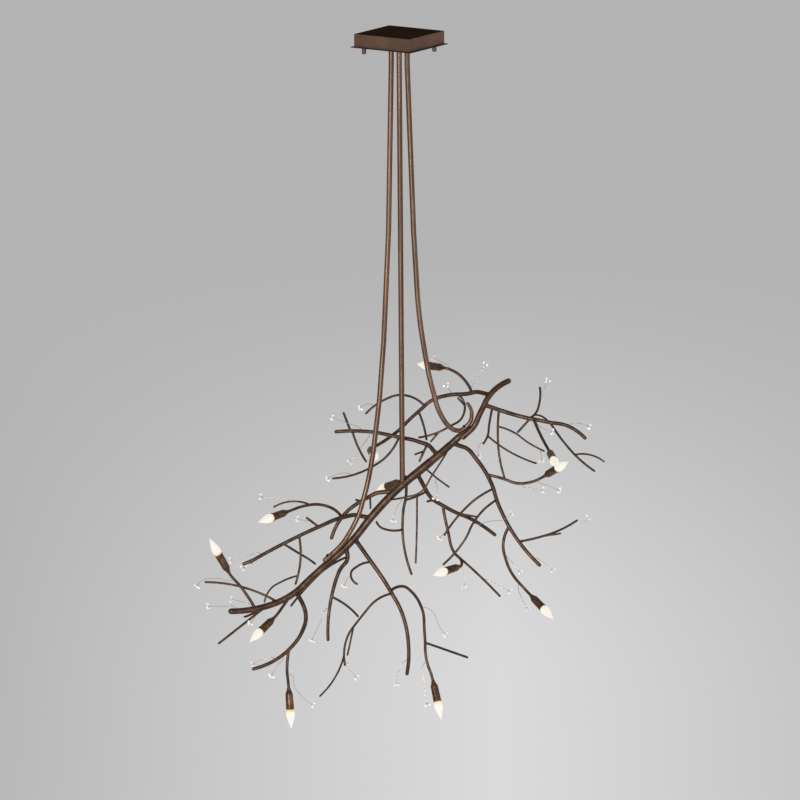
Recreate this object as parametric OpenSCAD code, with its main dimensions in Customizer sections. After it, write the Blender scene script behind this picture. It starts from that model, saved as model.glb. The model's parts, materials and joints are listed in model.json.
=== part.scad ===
// Branch chandelier: a welded metal branch with twelve candle lamps and
// glass bead sprays, hung on three rods under a square ceiling canopy.
// Origin: centre of the canopy's top face, on the ceiling. +Z is up.

/* [Canopy] */
// Side of the square canopy box
canopy_w = 254; // [230:1:300]
// Depth of the canopy box under the ceiling
canopy_h = 50; // [46:1:70]
// Sheet thickness of the canopy box
canopy_t = 2; // [1.5:0.1:3]
// Turn of the square canopy about the vertical
canopy_turn = -32.5; // [-45:0.5:0]
// Rim of the cover plate beyond the box
cover_edge = 10.5; // [3:0.5:25]
// Thickness of the cover plate
cover_t = 3; // [2:0.1:5]
// Height of the lip that centres the cover in the box
lip_h = 5; // [3:0.5:8]
// Distance of each thumb screw from the two near walls of the box
thumb_in = 28; // [18:0.5:36]
// Diameter of a thumb screw's knob
thumb_d = 16; // [12:0.5:20]
// Length of a thumb screw's knob
thumb_l = 28; // [20:1:34]
// Diameter of a thumb screw's shank
shank_d = 6; // [5:0.5:8]

/* [Rods and hardware] */
// Outside diameter of the three hanging rods
stem_d = 21.3; // [18:0.1:24]
// Diameter of the left and right rods where they lie against the trunk
lap_d = 18; // [16:0.5:18.5]
// Wall of the hanging rods
stem_wall = 2.6; // [1.5:0.1:4]
// Spacing of the hanging rods at the canopy
stem_gap = 31; // [29:0.5:40]
// Gap between the rods' top ends and the ceiling
stem_top = 20; // [18:0.5:24]
// Thickness of the carrier bar in the canopy
bar_t = 6; // [5:0.5:8]
// Width of the carrier bar
bar_w = 38; // [36:1:50]
// Length of the carrier bar
bar_l = 190; // [180:1:200]
// Distance of each hanging stud from the centre
stud_out = 78; // [70:1:84]
// Diameter of the hanging studs
stud_d = 8; // [6:0.5:10]
// Diameter of the wire entry in the canopy's top
entry_d = 24; // [18:0.5:30]
// Spacing of the two outlet box screw holes
outlet_gap = 88.9; // [80:0.1:100]
// Spacing of the four ceiling screw holes
ceiling_gap = 150; // [130:1:160]
// Diameter of the ceiling screw holes
ceiling_hole_d = 7; // [5:0.5:9]
// Diameter of the cross bolts that hold the branch to the rods
bolt_d = 6; // [5:0.5:7]

/* [Branch] */
// Size of one square of the layout sheet
square = 3.9; // [3.6:0.05:4.2]
// Trunk diameter at its middle
trunk_d = 33; // [30:0.5:36]
// Trunk diameter at its left end
trunk_left_d = 23; // [21:0.5:26]
// Trunk diameter at its right end
trunk_right_d = 25; // [23:0.5:27]
// Diameter of the trunk's upper length
upper_d = 23; // [21:0.5:25]
// Limb diameter at the trunk
limb_d = 17.5; // [16:0.5:19]
// Limb diameter at the tip
limb_tip_d = 14; // [13:0.5:15]
// Lamp arm diameter
arm_d = 12; // [11:0.5:13]
// Twig diameter
twig_d = 9.6; // [9:0.2:10.4]
// Diameter of the thin twigs that grow from twigs
fine_d = 8; // [7:0.2:8.6]

/* [Lamps] */
// Length of a lamp cup
cup_l = 84; // [80:1:92]
// Diameter of a lamp cup behind its tapered neck
cup_d = 29; // [28:0.5:31]
// Diameter of a lamp cup's rim
cup_rim_d = 33; // [32:0.5:36]
// Wall of a lamp cup
cup_wall = 1.5; // [1.2:0.1:1.8]
// Greatest diameter of a bulb's glass
bulb_d = 32; // [28:0.5:35]
// Length of a bulb's glass
bulb_l = 82; // [70:1:90]
// Wall of a bulb's glass
bulb_wall = 0.8; // [0.6:0.1:1.2]
// Diameter of a bulb's screw base
base_d = 11.9; // [11.5:0.1:12.2]

/* [Glass beads] */
// Diameter of a glass bead
bead_d = 11; // [9:0.5:13]
// Diameter of a bead wire
wire_d = 2.2; // [1.8:0.1:2.6]
// Reach of the three prongs that carry the beads
prong_l = 13; // [12:0.5:16]

/* [Fits] */
// Radial clearance of a peg in its socket
fit = 0.1; // [0.05:0.05:0.2]
// Radial clearance of a sliding or loose hole
slack = 0.5; // [0.3:0.1:0.8]
// Gap between pieces that lie face to face
face_gap = 0.1; // [0.05:0.05:0.3]

/* [Hidden] */
$fn = 48;
bronze = [0.27, 0.19, 0.13];
copper = [0.62, 0.47, 0.38];
brass = [0.75, 0.6, 0.3];

// ---- Layout sheet ----
// The branch is laid out on a sheet of squares, seen from the front and
// 10 degrees above. A place on it is [column, row, squares towards the back].
sheet_tilt = 10;
ceiling_column = 399.2;
ceiling_row = 33.3;
function at(p) =
  let (x = square * (p[0] - ceiling_column), back = square * p[2])
  [x, back, -(square * (p[1] - ceiling_row) + back * sin(sheet_tilt)) / cos(sheet_tilt)];
function put(v) = [for (p = v) at(p)];
// Where a point shows on the sheet
function seen(p) = [p[0], p[2] * cos(sheet_tilt) + p[1] * sin(sheet_tilt)];

// ---- Routes of bent rod ----
// A route is a chain of arcs that meet without a kink. It is kept as one list
// of [point, direction] knots for each stretch between two laid out points.
function unit(v) = v / norm(v);
function flip(axis, v) = 2 * (axis * v) * axis - v;
// Direction at b of the circle through a, b and c
function pass(a, b, c) = unit(norm(c - b) * unit(b - a) + norm(b - a) * unit(c - b));
function lead(p) = len(p) < 3 ? unit(p[1] - p[0]) : flip(unit(p[1] - p[0]), pass(p[0], p[1], p[2]));
function tail(p) = let (n = len(p))
  n < 3 ? unit(p[1] - p[0]) : flip(unit(p[n - 1] - p[n - 2]), pass(p[n - 3], p[n - 2], p[n - 1]));
// Joint of the two arcs that link a point and direction to the next pair
function meet(p, s, q, t) =
  let (v = q - p, w = s + t, k = 2 * (1 - s * t),
    d = k < 0.000001 ? (v * v) / (4 * (v * t)) : (sqrt((v * w) * (v * w) + k * (v * v)) - v * w) / k)
  (p + q + d * (s - t)) / 2;
function stretch(p, s, q, t) =
  norm(flip(unit(q - p), s) - t) < 0.03 ? [[p, s]]
  : let (m = meet(p, s, q, t)) [[p, s], [m, flip(unit(m - p), s)]];
function route(p, first = undef, last = undef) =
  let (n = len(p), t = [for (i = [0:n - 1])
    i == 0 ? (is_undef(first) ? lead(p) : first)
    : i == n - 1 ? (is_undef(last) ? tail(p) : last)
    : pass(p[i - 1], p[i], p[i + 1])])
  concat([for (i = [0:n - 2]) stretch(p[i], t[i], p[i + 1], t[i + 1])], [[[p[n - 1], t[n - 1]]]]);
function knots(r) = [for (s = r) for (k = s) k];
function end_of(r) = r[len(r) - 1][0];
// Point and direction a share f of the way along the arc from knot k to q
function along(k, q, f) =
  let (d = q - k[0], t = k[1], off = d - (d * t) * t)
  norm(off) < 0.001 * norm(d) ? [k[0] + f * d, t]
  : let (u = unit(off), r = (d * d) / (2 * (d * u)), a = 2 * f * atan2(d * u, d * t))
    [k[0] + r * sin(a) * t + r * (1 - cos(a)) * u, cos(a) * t + sin(a) * u];
// Point and direction at station s, where whole numbers are laid out points
function spot(r, s) =
  let (i = min(floor(s), len(r) - 2), f = s - i, g = r[i], q = r[i + 1][0][0])
  len(g) == 1 ? along(g[0], q, f)
  : f < 0.5 ? along(g[0], g[1][0], 2 * f) : along(g[1], q, 2 * f - 1);
// Station of a route that shows nearest to a place on the sheet
function nearest(r, place) =
  let (goal = seen(at([place[0], place[1], 0])),
    s = [for (i = [0:len(r) - 2]) for (f = [0:0.05:0.95]) i + f],
    d = [for (k = s) norm(seen(spot(r, k)[0]) - goal)], least = min(d))
  [for (i = [0:len(s) - 1]) if (d[i] == least) s[i]][0];
function near(r, place) = spot(r, nearest(r, place));
// Diameters of each kind of rod at its root and its tip
trunk_taper = [trunk_d, trunk_left_d];
limb_taper = [limb_d, limb_tip_d];
slim_taper = [limb_d, arm_d];
arm_taper = [arm_d, arm_d - 0.8];
twig_taper = [twig_d, twig_d - 0.8];
fine_taper = [fine_d, fine_d - 0.6];
function total(v) = len(v) == 0 ? 0 : v * [for (x = v) 1];
// Radius of a tapered rod at a station of its route
function skin(r, taper, s) =
  let (i = min(floor(s), len(r) - 2), n = len(knots(r)) - 1,
    before = total([for (j = [0:1:i - 1]) len(r[j])]) + (len(r[i]) == 2 && s - i >= 0.5 ? 1 : 0))
  taper[0] / 2 - (taper[0] - taper[1]) / 2 * before / n;
// A twig or arm that grows from a rod's centre line
function twig(host, place, v) = route(concat([near(host, place)[0]], put(v)));
// An arm whose last two places are the lamp cup's foot and its rim
function arm(host, place, v) =
  let (p = concat([near(host, place)[0]], put(v)), n = len(p), cup = unit(p[n - 1] - p[n - 2]))
  route([for (i = [0:n - 2]) p[i]], undef, cup);
// A limb: a straight peg, begun some way off the trunk's centre line, then a bent run
function limb(host, place, v, last = undef, off = 0) =
  let (p = put(v), root = near(host, place)[0], out = unit(p[0] - root))
  concat([[[root + (off + fit) * out, out]]], route(p, out, last));
lamp_12_dir = unit(at([376.5, 459, -1]) - at([370, 449, 36]));

// A push off a rod, square to its direction
function aside(dir, v) = unit(v - (v * dir) * dir);
lap_gap = 0.3;

// ---- Trunk: two lengths that lap, the upper one in front ----
lower_left = route(put([[420, 470.5, 5], [404, 483.5, 4], [374, 514, 2], [352, 541, 0], [320, 570, -4],
  [284, 599.5, -9], [258, 608.5, -12], [231, 611.5, -14]]), unit(at([404, 483.5, 4]) - at([437, 456.5, 7])));
lap_dir = unit(at([474, 423.5, 9]) - at([458, 438, 9]));
lap_at = at([465, 431.6, 9]);
lower_right = concat(route([lower_left[0][0][0], at([441, 453, 7.5]), lap_at - 30 * lap_dir],
  -lower_left[0][0][1], lap_dir));
// Across the lap: to the right and down, and to the front
lap_right = aside(lap_dir, [1, 0, -1]);
lap_front = cross(lap_right, lap_dir);
function beside(d, across) =
  let (reach = (trunk_right_d + d) / 2 + lap_gap)
  across * lap_right + sqrt(reach * reach - across * across) * lap_front;
upper_off = beside(upper_d, 7.5);
upper = route(concat([lap_at + upper_off + 20 * lap_dir], put([[482, 409.5, 5], [487.8, 398, 8],
  [495, 389.5, 12], [508.5, 381, 17]])), lap_dir);

// ---- Hanging rods ----
stem_straight = 125;
function down_from(x) = [[x, 0, -stem_top], [x, 0, -stem_straight]];
left_lap = near(lower_left, [331, 560]);
left_side = aside(left_lap[1], [-0.5, -0.62, 0.5]);
left_centre = left_lap[0] + (trunk_d / 2 + lap_d / 2 + lap_gap) * left_side;
right_off = beside(lap_d, -14);
right_side = unit(right_off);
right_centre = lap_at + right_off + 14 * lap_dir;
left_stem = concat(
  [[[down_from(-stem_gap)[0], [0, 0, -1]]]],
  route(concat([down_from(-stem_gap)[1]], put([[388.6, 230, -1], [383.8, 340, -2], [379.5, 399, -3],
    [373.3, 452, -5], [365.5, 491.5, -6.5], [355.5, 522, -7]]), [left_centre - 28 * left_lap[1]]),
    [0, 0, -1], left_lap[1]));
foot = near(lower_left, [402, 485]);
foot_up = 3;
centre_dir = unit(foot[0] - down_from(0)[1]);
foot_end = foot[0] - foot_up * centre_dir;
centre_stem = [[[down_from(0)[0], [0, 0, -1]]], [[down_from(0)[1], centre_dir]],
  [[foot_end - fit * centre_dir, centre_dir]]];
right_stem = concat(
  [[[down_from(stem_gap)[0], [0, 0, -1]]]],
  route(concat([down_from(stem_gap)[1]], put([[413.5, 230, 0], [422.7, 340, 0], [433, 391, 0],
    [440.5, 414, 1], [448, 425.3, 2], [455.5, 430.3, 3.5]]), [right_centre - 10 * lap_dir]), [0, 0, -1], lap_dir));
right_tip = route(concat([right_centre + 12 * lap_dir], put([[471.5, 411.5, 4], [467.5, 403.5, 4]])),
  lap_dir);

// ---- Limbs, arms and twigs, named by where they show ----
low_right = limb(lower_left, [354, 539], [[364, 552, -6], [388, 587, -14], [402.7, 615, -20],
  [408.4, 643, -22], [407, 674, -20]]);
low_right_hook = twig(low_right, [371, 562], [[358, 566, -16], [351, 573, -21], [357, 584, -26]]);
arm_09 = arm(low_right, [391, 590], [[402, 586.5, -8], [413.5, 594, 0], [422, 609, 4], [424.7, 634, 6],
  [426.5, 660, 5], [433, 681, 2], [437.6, 702, -4]]);
arm_09_twig = twig(arm_09, [425.5, 643], [[467.5, 658, 20]]);
low_right_sweep = twig(low_right, [391, 594], [[379, 598.5, -26], [360, 618.5, -33],
  [347, 638, -38], [345, 665, -42]]);
low_right_tail = twig(low_right_sweep, [345, 656], [[337, 674, -50], [320, 696, -58]]);
low_right_fine = twig(low_right_sweep, [354, 627], [[350.5, 641, -31], [347.5, 655, -34]]);

low_middle = limb(lower_left, [346, 547], [[347.5, 555, -3], [338.5, 573, -8], [330, 605, -13],
  [328, 640, -14]]);
low_middle_under = twig(low_middle, [346.5, 557], [[327.7, 567.5, 6], [304.5, 589.6, 4],
  [291, 606, -1]]);
low_middle_link = twig(low_middle, [333, 597.6], [[347, 606, -20], [358, 616.5, -31]]);

low_left = limb(lower_left, [294, 591.5], [[300.5, 600, -12], [305.8, 619, -19], [301, 634, -24],
  [288, 650.5, -29], [253.5, 669, -33]]);
arm_08 = arm(low_left, [289, 649.5], [[287, 668, -30], [288.6, 688, -28], [290, 709, -31]]);

left = limb(lower_left, [371, 517.5], [[358, 515.5, 1.5], [341, 518, -2], [317.5, 527.5, -9],
  [298, 536.5, -11], [250, 562, -15]]);
arm_05 = arm(left, [342, 517.5], [[333, 508.8, -11], [319, 504.5, -18], [304, 506, -25],
  [288, 511.5, -33], [274.6, 516.3, -45]]);
arm_05_twig = twig(arm_05, [310, 505], [[300, 501.8, -16], [287, 502, -13], [274, 507, -12]]);
left_spur = twig(left, [318.5, 527], [[306.8, 518, -4]]);
left_fall = twig(left, [298.5, 536], [[300.7, 553, -16], [298.5, 573, -19], [295.5, 584, -19]]);
left_bow = twig(left_fall, [298, 576], [[282, 581.5, -23], [271, 588.5, -25], [264.5, 602, -26]]);
left_brace = twig(left, [284, 545], [[299, 553.5, -4], [309, 559.5, -1], [315, 564, 2]]);

left_inner = limb(lower_left, [396, 491.5], [[380, 492.5, 6], [366, 498.5, 6], [343, 516, 4],
  [331.5, 538, 2]]);
left_inner_stub = twig(left_inner, [361, 502], [[356, 500, 9]]);
left_inner_drop = twig(left_inner, [370, 496.5], [[370.5, 508.5, 7]]);

high_left = limb(lower_right, [438, 455.5], [[431, 447.5, 12], [418, 441.5, 16], [398, 437, 20],
  [372, 432, 23], [336, 431.8, 25]]);
high_left_up = twig(high_left, [351, 431], [[343.6, 413, 22]]);
high_left_down = twig(high_left, [351.5, 431], [[358, 447, 22], [366, 461.5, 16]]);
high_left_sweep = twig(high_left, [399, 437.5], [[386, 457, 17], [371, 467.5, 15], [333, 478.5, 11]]);
high_left_drop = twig(high_left, [427, 445.5], [[419.5, 461, 14]]);
high_left_fine = twig(high_left_drop, [424, 451.5], [[415, 454.5, 18]]);

high_back = limb(upper, [490, 394.5], [[480, 392.3, 17], [465, 394, 24], [449.4, 395, 28], [432.6, 400, 32],
  [418.5, 411.5, 35], [390.5, 436.8, 42], [376, 446, 46], [369.5, 449, 36]], lamp_12_dir);
arm_01 = arm(high_back, [472, 393.5], [[465.5, 381, 26], [457, 373, 29], [444, 367.8, 30],
  [429.7, 365.8, 46]]);
high_back_arch = twig(high_back, [424, 405], [[413, 397.5, 34], [399, 395, 34], [383, 400.5, 34],
  [366, 413.5, 34]]);
high_back_loop = twig(high_back, [458, 394.5], [[464.5, 404, 24], [463, 416, 20], [447, 428, 15],
  [419, 437.5, 19]]);
high_back_drop = twig(high_back, [419, 411.5], [[424, 427, 30], [426.5, 439.5, 24]]);
high_back_fine = twig(high_back_loop, [438, 431.8], [[431, 441.5, 17]]);

high_right = limb(upper, [485.5, 405.5], [[495, 408.5, 9], [522.3, 416.8, 4], [545, 421.5, 0],
  [570, 427, -7], [585, 438, -12]]);
high_right_up = twig(high_right, [529, 419], [[535.5, 413.5, 9], [540, 400, 17], [540, 387.5, 23]]);
high_right_bow = twig(high_right, [531, 418.5], [[537, 415, 12], [547, 420, 14]]);
high_right_fork = twig(high_right, [492, 408], [[489.5, 423, 15], [487.3, 437, 20],
  [483.5, 443.5, 24]]);
high_right_long = twig(high_right_fork, [487.5, 435.5], [[502.7, 447.5, 28], [536.4, 463.5, 38]]);
high_right_fall = twig(high_right, [498.5, 410], [[497.8, 432, 3], [499.5, 457, -3],
  [504.3, 477, -6]]);
high_right_sweep = twig(high_right_fall, [498, 426.5], [[515, 433, -2], [528, 442.5, -7],
  [544, 451, -12]]);
high_right_brace = twig(high_right, [530, 419.5], [[518, 432, 0]]);
arm_02 = arm(high_right, [533, 420.5], [[541, 436, -14], [549, 451, -31], [553, 459.3, -52]]);
high_right_run = twig(high_right, [550, 422], [[563, 441, 3], [575.7, 455.6, 7], [594.5, 471, 13]]);
high_right_curl = twig(high_right_run, [575, 455], [[585, 454, 2], [604, 461.5, -4]]);

right = limb(lower_right, [452.5, 443.5], [[463.5, 447, 3], [479, 462.5, -4], [490.5, 481.5, -11],
  [499, 506, -18], [513, 533, -24], [539.5, 565, -31]]);
arm_03 = arm(right, [487, 474], [[500, 477.8, -10], [520, 483.5, -13], [533, 481.5, -16],
  [544.5, 476, -20], [556.2, 468.8, -33]]);
right_upper_twig = twig(right, [493, 489], [[478, 497.5, -9], [461, 513, -4], [444.5, 535, 0]]);
right_lower_twig = twig(right, [496.5, 500], [[484, 509.5, -11], [475, 520.5, -6],
  [463.5, 542, -3], [443.5, 564.5, -5]]);
arm_11 = arm(right, [508, 527], [[503.3, 543, -23], [507, 563, -23], [530.8, 595.4, -25],
  [542, 607.1, -38]]);
right_reach = twig(right, [519.5, 541], [[540, 537, -22], [559, 530.5, -15], [577, 520.5, -9]]);
right_reach_fork = twig(right_reach, [543, 536.5], [[560.5, 533.5, -26]]);

middle_right = limb(lower_left, [416.5, 473.5], [[423, 484.5, 8], [431, 497.5, 12],
  [447, 508, 16], [478, 523, 22], [495, 535, 25]]);
middle_right_spur = twig(middle_right, [434, 500.5], [[427.5, 501.5, 9]]);
middle_right_fine = twig(middle_right, [458, 513.5], [[477, 517, 16]]);
arm_10 = arm(middle_right, [443, 506], [[447.5, 529, 12], [454.5, 553, 9], [461.5, 561, 6],
  [460, 566.5, -2], [449, 570, -14]]);
arm_10_twig = twig(arm_10, [455.5, 555], [[477, 573.5, 12], [500, 596.5, 18]]);

centre = limb(lower_left, [407, 481.5], [[406.3, 491, 0], [403, 514, -6], [403, 538, -10],
  [411.5, 574, -14]], undef, 13);
centre_hook = twig(centre, [402.4, 529.5], [[388, 530, -14], [381, 527.5, -16], [376.5, 522, -18]]);
centre_link = twig(centre, [405, 500], [[416.5, 496.5, -3], [424.5, 492.5, 4]]);
centre_drop = twig(centre_link, [416.8, 496], [[416.8, 530, -6], [415.7, 563, -8]]);

// Twigs and arms that are welded straight to the trunk
arm_04 = arm(lower_left, [407, 481.5], [[405, 476.5, 12], [400.5, 481.5, 18], [386.5, 487, 34]]);
arm_06 = arm(lower_left, [255.5, 608.5], [[241.5, 588, -12], [229, 573, -9], [219, 555.5, -10]]);
arm_07 = arm(lower_left, [290, 596], [[284, 605, -16], [274, 618, -24], [261.4, 630.4, -36]]);
trunk_reach = twig(lower_left, [277, 602], [[259, 593, -6], [237, 586, -2], [205.3, 582.4, 3]]);
trunk_spear = twig(lower_left, [266, 606], [[218.7, 643.6, -26]]);
trunk_stub = twig(lower_left, [259, 608.5], [[250, 615, -17], [244.5, 617, -19]]);
trunk_loop = twig(lower_left, [388, 499.5], [[404, 497.5, -9], [420, 492.5, -12],
  [433, 474, -10], [447, 452, -5]]);
trunk_cross = twig(lower_right, [424, 467], [[433, 475, -3], [449, 487, -12]]);

// ---- Lamps: foot and direction of each cup ----
function cup_on(r) = end_of(r);
lamps = [cup_on(arm_01), cup_on(arm_02), cup_on(arm_03), cup_on(arm_04), cup_on(arm_05),
  cup_on(arm_06), cup_on(arm_07), cup_on(arm_08), cup_on(arm_09), cup_on(arm_10),
  cup_on(arm_11), end_of(high_back)];
peg_d = 9;
peg_l = 12;
neck_l = 23;
neck_d = 14;
cavity = neck_l + 3;
socket_d = cup_d - 2 * cup_wall - 1.2;
socket_top = cup_l - 4;
base_l = 18;
glass_foot = socket_top + 1;

// ---- Building blocks ----
module aim(p, dir) {
  translate(p) rotate([0, acos(dir[2]), atan2(dir[1], dir[0])]) children();
}
// Rod of one radius bent from knot k to point q, begun a little further back
module bend(k, q, r, back) {
  d = q - k[0];
  t = k[1];
  off = d - (d * t) * t;
  if (norm(off) < norm(d) * norm(d) / 8000) {
    aim(k[0] - back * unit(d), unit(d)) cylinder(r = r, h = norm(d) + back);
  } else {
    u = unit(off);
    z = cross(-u, t);
    turn_r = (d * d) / (2 * (d * u));
    c = k[0] + turn_r * u;
    extra = back * 180 / (PI * turn_r);
    multmatrix([[-u[0], t[0], z[0], c[0]], [-u[1], t[1], z[1], c[1]], [-u[2], t[2], z[2], c[2]]])
      rotate([0, 0, -extra])
      rotate_extrude(angle = 2 * atan2(d * u, d * t) + extra)
      translate([turn_r, 0]) circle(r = r);
  }
}
// Rod along a route, drawn thinner at each arc, with a rounded tip
module rod(r, d0, d1, tip = true, root = 0) {
  k = knots(r);
  n = len(k) - 1;
  step = (d0 - d1) / 2 / n;
  for (i = [0:n - 1]) bend(k[i], k[i + 1][0], d0 / 2 - step * i, i == 0 ? root : 1);
  if (tip) translate(k[n][0]) sphere(r = d1 / 2 + step / 2);
}
module run(r) rod(r, limb_taper[0], limb_taper[1]);
module shoot(r) rod(r, twig_taper[0], twig_taper[1]);
module fine(r) rod(r, fine_taper[0], fine_taper[1]);
// Lamp arm with the peg that the cup sits on
module lamp_arm(r) {
  rod(r, arm_taper[0], arm_taper[1], false);
  peg(end_of(r));
}
module peg(k) aim(k[0] - 3 * k[1], k[1]) cylinder(d = peg_d, h = peg_l + 3);
// Socket in the trunk for a limb's straight peg
module seat(r, d = limb_d) {
  aim(r[0][0][0] - fit * r[0][0][1], r[0][0][1]) cylinder(d = d + 2 * fit, h = 60);
}
module hex(flats, h) rotate([0, 0, 30]) cylinder(d = flats / cos(30), h = h, $fn = 6);

// ---- Canopy ----
bar_top = -stem_top - 12;
bar_low = bar_top - bar_t;
cover_top = -canopy_h - face_gap;
cover_w = canopy_w + 2 * cover_edge;
thumb_out = (canopy_w / 2 - thumb_in) * sqrt(2);
thumb_turn = canopy_turn + 45;
post_d = 18;
post_l = canopy_h - 1;
nut_flats = stem_d + 7;
nut_h = 8;
stud_nut_flats = 13;
stud_nut_h = 6.5;
module canopy_box() {
  color(bronze) difference() {
    union() {
      difference() {
        rotate([0, 0, canopy_turn]) translate([-canopy_w / 2, -canopy_w / 2, -canopy_h])
          cube([canopy_w, canopy_w, canopy_h]);
        rotate([0, 0, canopy_turn])
          translate([canopy_t - canopy_w / 2, canopy_t - canopy_w / 2, -canopy_h - 1])
          cube([canopy_w - 2 * canopy_t, canopy_w - 2 * canopy_t, canopy_h + 1 - canopy_t]);
      }
      for (side = [-1, 1]) {
        translate([side * stud_out, 0, bar_low - stud_nut_h - 3])
          cylinder(d = stud_d, h = -bar_low + stud_nut_h + 2);
        rotate([0, 0, thumb_turn]) translate([side * thumb_out, 0, -post_l])
          cylinder(d = post_d, h = post_l - 1);
      }
    }
    translate([0, 0, -canopy_t - 1]) cylinder(d = entry_d, h = canopy_t + 2);
    for (side = [-1, 1]) {
      rotate([0, 0, canopy_turn]) translate([side * outlet_gap / 2, 0, -canopy_t - 1])
        cylinder(d = 5.5, h = canopy_t + 2);
      rotate([0, 0, thumb_turn]) translate([side * thumb_out, 0, -post_l - 1])
        cylinder(d = shank_d + 2 * fit, h = 31);
    }
    for (x = [-1, 1], y = [-1, 1]) {
      rotate([0, 0, canopy_turn])
        translate([x * ceiling_gap / 2, y * ceiling_gap / 2, -canopy_t - 1])
        cylinder(d = ceiling_hole_d, h = canopy_t + 2);
    }
  }
}
module canopy_cover() {
  lip_w = canopy_w - 2 * canopy_t - 2 * slack;
  color(bronze) difference() {
    rotate([0, 0, canopy_turn]) union() {
      translate([-cover_w / 2, -cover_w / 2, cover_top - cover_t]) cube([cover_w, cover_w, cover_t]);
      difference() {
        translate([-lip_w / 2, -lip_w / 2, cover_top - 1]) cube([lip_w, lip_w, lip_h + 1]);
        translate([canopy_t - lip_w / 2, canopy_t - lip_w / 2, cover_top - 2])
          cube([lip_w - 2 * canopy_t, lip_w - 2 * canopy_t, lip_h + 3]);
      }
    }
    for (i = [-1:1]) translate([i * stem_gap, 0, cover_top - cover_t - 1])
      cylinder(d = stem_d + 2 * slack, h = cover_t + 2);
    for (side = [-1, 1]) rotate([0, 0, thumb_turn])
      translate([side * thumb_out, 0, cover_top - cover_t - 1])
      cylinder(d = shank_d + 2 * fit, h = cover_t + 2);
  }
}
module thumb_screw(side) {
  color(copper) rotate([0, 0, thumb_turn]) translate([side * thumb_out, 0, cover_top - cover_t - face_gap])
    union() {
      rotate_extrude() polygon([[0, -thumb_l], [thumb_d * 0.3, -thumb_l], [thumb_d * 0.46, -thumb_l + 2],
        [thumb_d / 2, -thumb_l * 0.55], [thumb_d * 0.4, -3], [thumb_d * 0.36, 0], [0, 0]]);
      cylinder(d = shank_d, h = 22);
    }
}
module thumb_screw_left() thumb_screw(-1);
module thumb_screw_right() thumb_screw(1);
module carrier_bar() {
  color("dimgray") difference() {
    translate([-bar_l / 2, -bar_w / 2, bar_low]) cube([bar_l, bar_w, bar_t]);
    for (i = [-1:1]) translate([i * stem_gap, 0, bar_low - 1]) cylinder(d = stem_d + 2 * fit, h = bar_t + 2);
    for (side = [-1, 1]) translate([side * stud_out, 0, bar_low - 1])
      cylinder(d = stud_d + 2 * fit, h = bar_t + 2);
    translate([ground_x, 8, bar_low - 1]) cylinder(d = 4 + 2 * fit, h = bar_t + 2);
  }
}
module stem_nuts() {
  color("silver") for (i = [-1:1], z = [bar_top + face_gap, bar_low - face_gap - nut_h]) {
    translate([i * stem_gap, 0, z]) difference() {
      hex(nut_flats, nut_h);
      translate([0, 0, -1]) cylinder(d = stem_d + 2 * fit, h = nut_h + 2);
    }
  }
}
module stud_nuts() {
  color("silver") for (side = [-1, 1], z = [bar_top + face_gap, bar_low - face_gap - stud_nut_h]) {
    translate([side * stud_out, 0, z]) difference() {
      hex(stud_nut_flats, stud_nut_h);
      translate([0, 0, -1]) cylinder(d = stud_d + 2 * fit, h = stud_nut_h + 2);
    }
  }
}

// ---- Wiring in the canopy ----
lead_d = 3;
ground_x = 54;
lead_low = -stem_top - 60;
connector_z = -stem_top - 8;
connector_spots = [[-24, -46], [4, -50], [32, -46]];
module lead(x, place) {
  rod(concat(route([[x, 0, lead_low], [x, 0, -stem_top - 6], [x + 0.4 * (place[0] - x), -16, -stem_top + 9],
    [place[0], place[1] + 4, connector_z]], [0, 0, 1], [0, -1, 0]),
    [[[[place[0], place[1] - 6, connector_z], [0, -1, 0]]]]), lead_d + 0.6, lead_d - 0.8, false);
}
module fixture_leads() {
  color("ivory") union() lead(-3.4, connector_spots[0]);
  color("black") union() lead(3.4, connector_spots[1]);
}
module ground_lead() {
  place = connector_spots[2];
  color("green") union() rod(concat(route([[ground_x, 8 - 4 - lap_gap, bar_top + lead_d / 2 + 0.6],
    [ground_x, -14, bar_top + 4], [place[0] + 3, place[1] + 14, connector_z + 1],
    [place[0], place[1] + 4, connector_z]], [0, -1, 0], [0, -1, 0]),
    [[[[place[0], place[1] - 6, connector_z], [0, -1, 0]]]]), lead_d + 0.4, lead_d - 0.6, false);
}
module wire_connectors() {
  color("darkorange") for (p = connector_spots) {
    translate([p[0], p[1] + 2, connector_z]) rotate([90, 0, 0]) difference() {
      rotate_extrude() polygon([[0, 0], [7, 0], [7, 6], [4, 24], [0, 24]]);
      translate([0, 0, -5]) cylinder(d = lead_d + 2 * slack, h = 17);
    }
  }
}
module ground_screw() {
  color("green") translate([ground_x, 8, bar_top + face_gap]) union() {
    cylinder(d = 8, h = 2.6);
    translate([0, 0, -bar_t - 3]) cylinder(d = 4, h = bar_t + 4);
  }
}

// ---- Hanging rods ----
bolt_reach = 12;
head_d = bolt_d * 1.9;
// Hole for a bolt from the front of a rod of diameter d into the trunk behind
module bolt_hole(centre, side, d) {
  aim(centre + (d / 2 + 20) * side, -side) cylinder(d = bolt_d + 2 * fit, h = 21 + d + bolt_reach);
}
module cross_bolt(centre, side, d, length) {
  aim(centre + (d / 2 + face_gap) * side, -side) union() {
    translate([0, 0, -3.4]) cylinder(d = head_d, h = 3.4);
    translate([0, 0, -0.5]) cylinder(d = bolt_d, h = length + 0.5);
  }
}
foot_side = aside(centre_dir, [0, -1, 0]);
foot_centre = foot_end - 6 * centre_dir;
upper_side = unit(upper_off);
upper_bolt = lap_at + upper_off - 10 * lap_dir;
right_bolt = right_centre;
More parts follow.
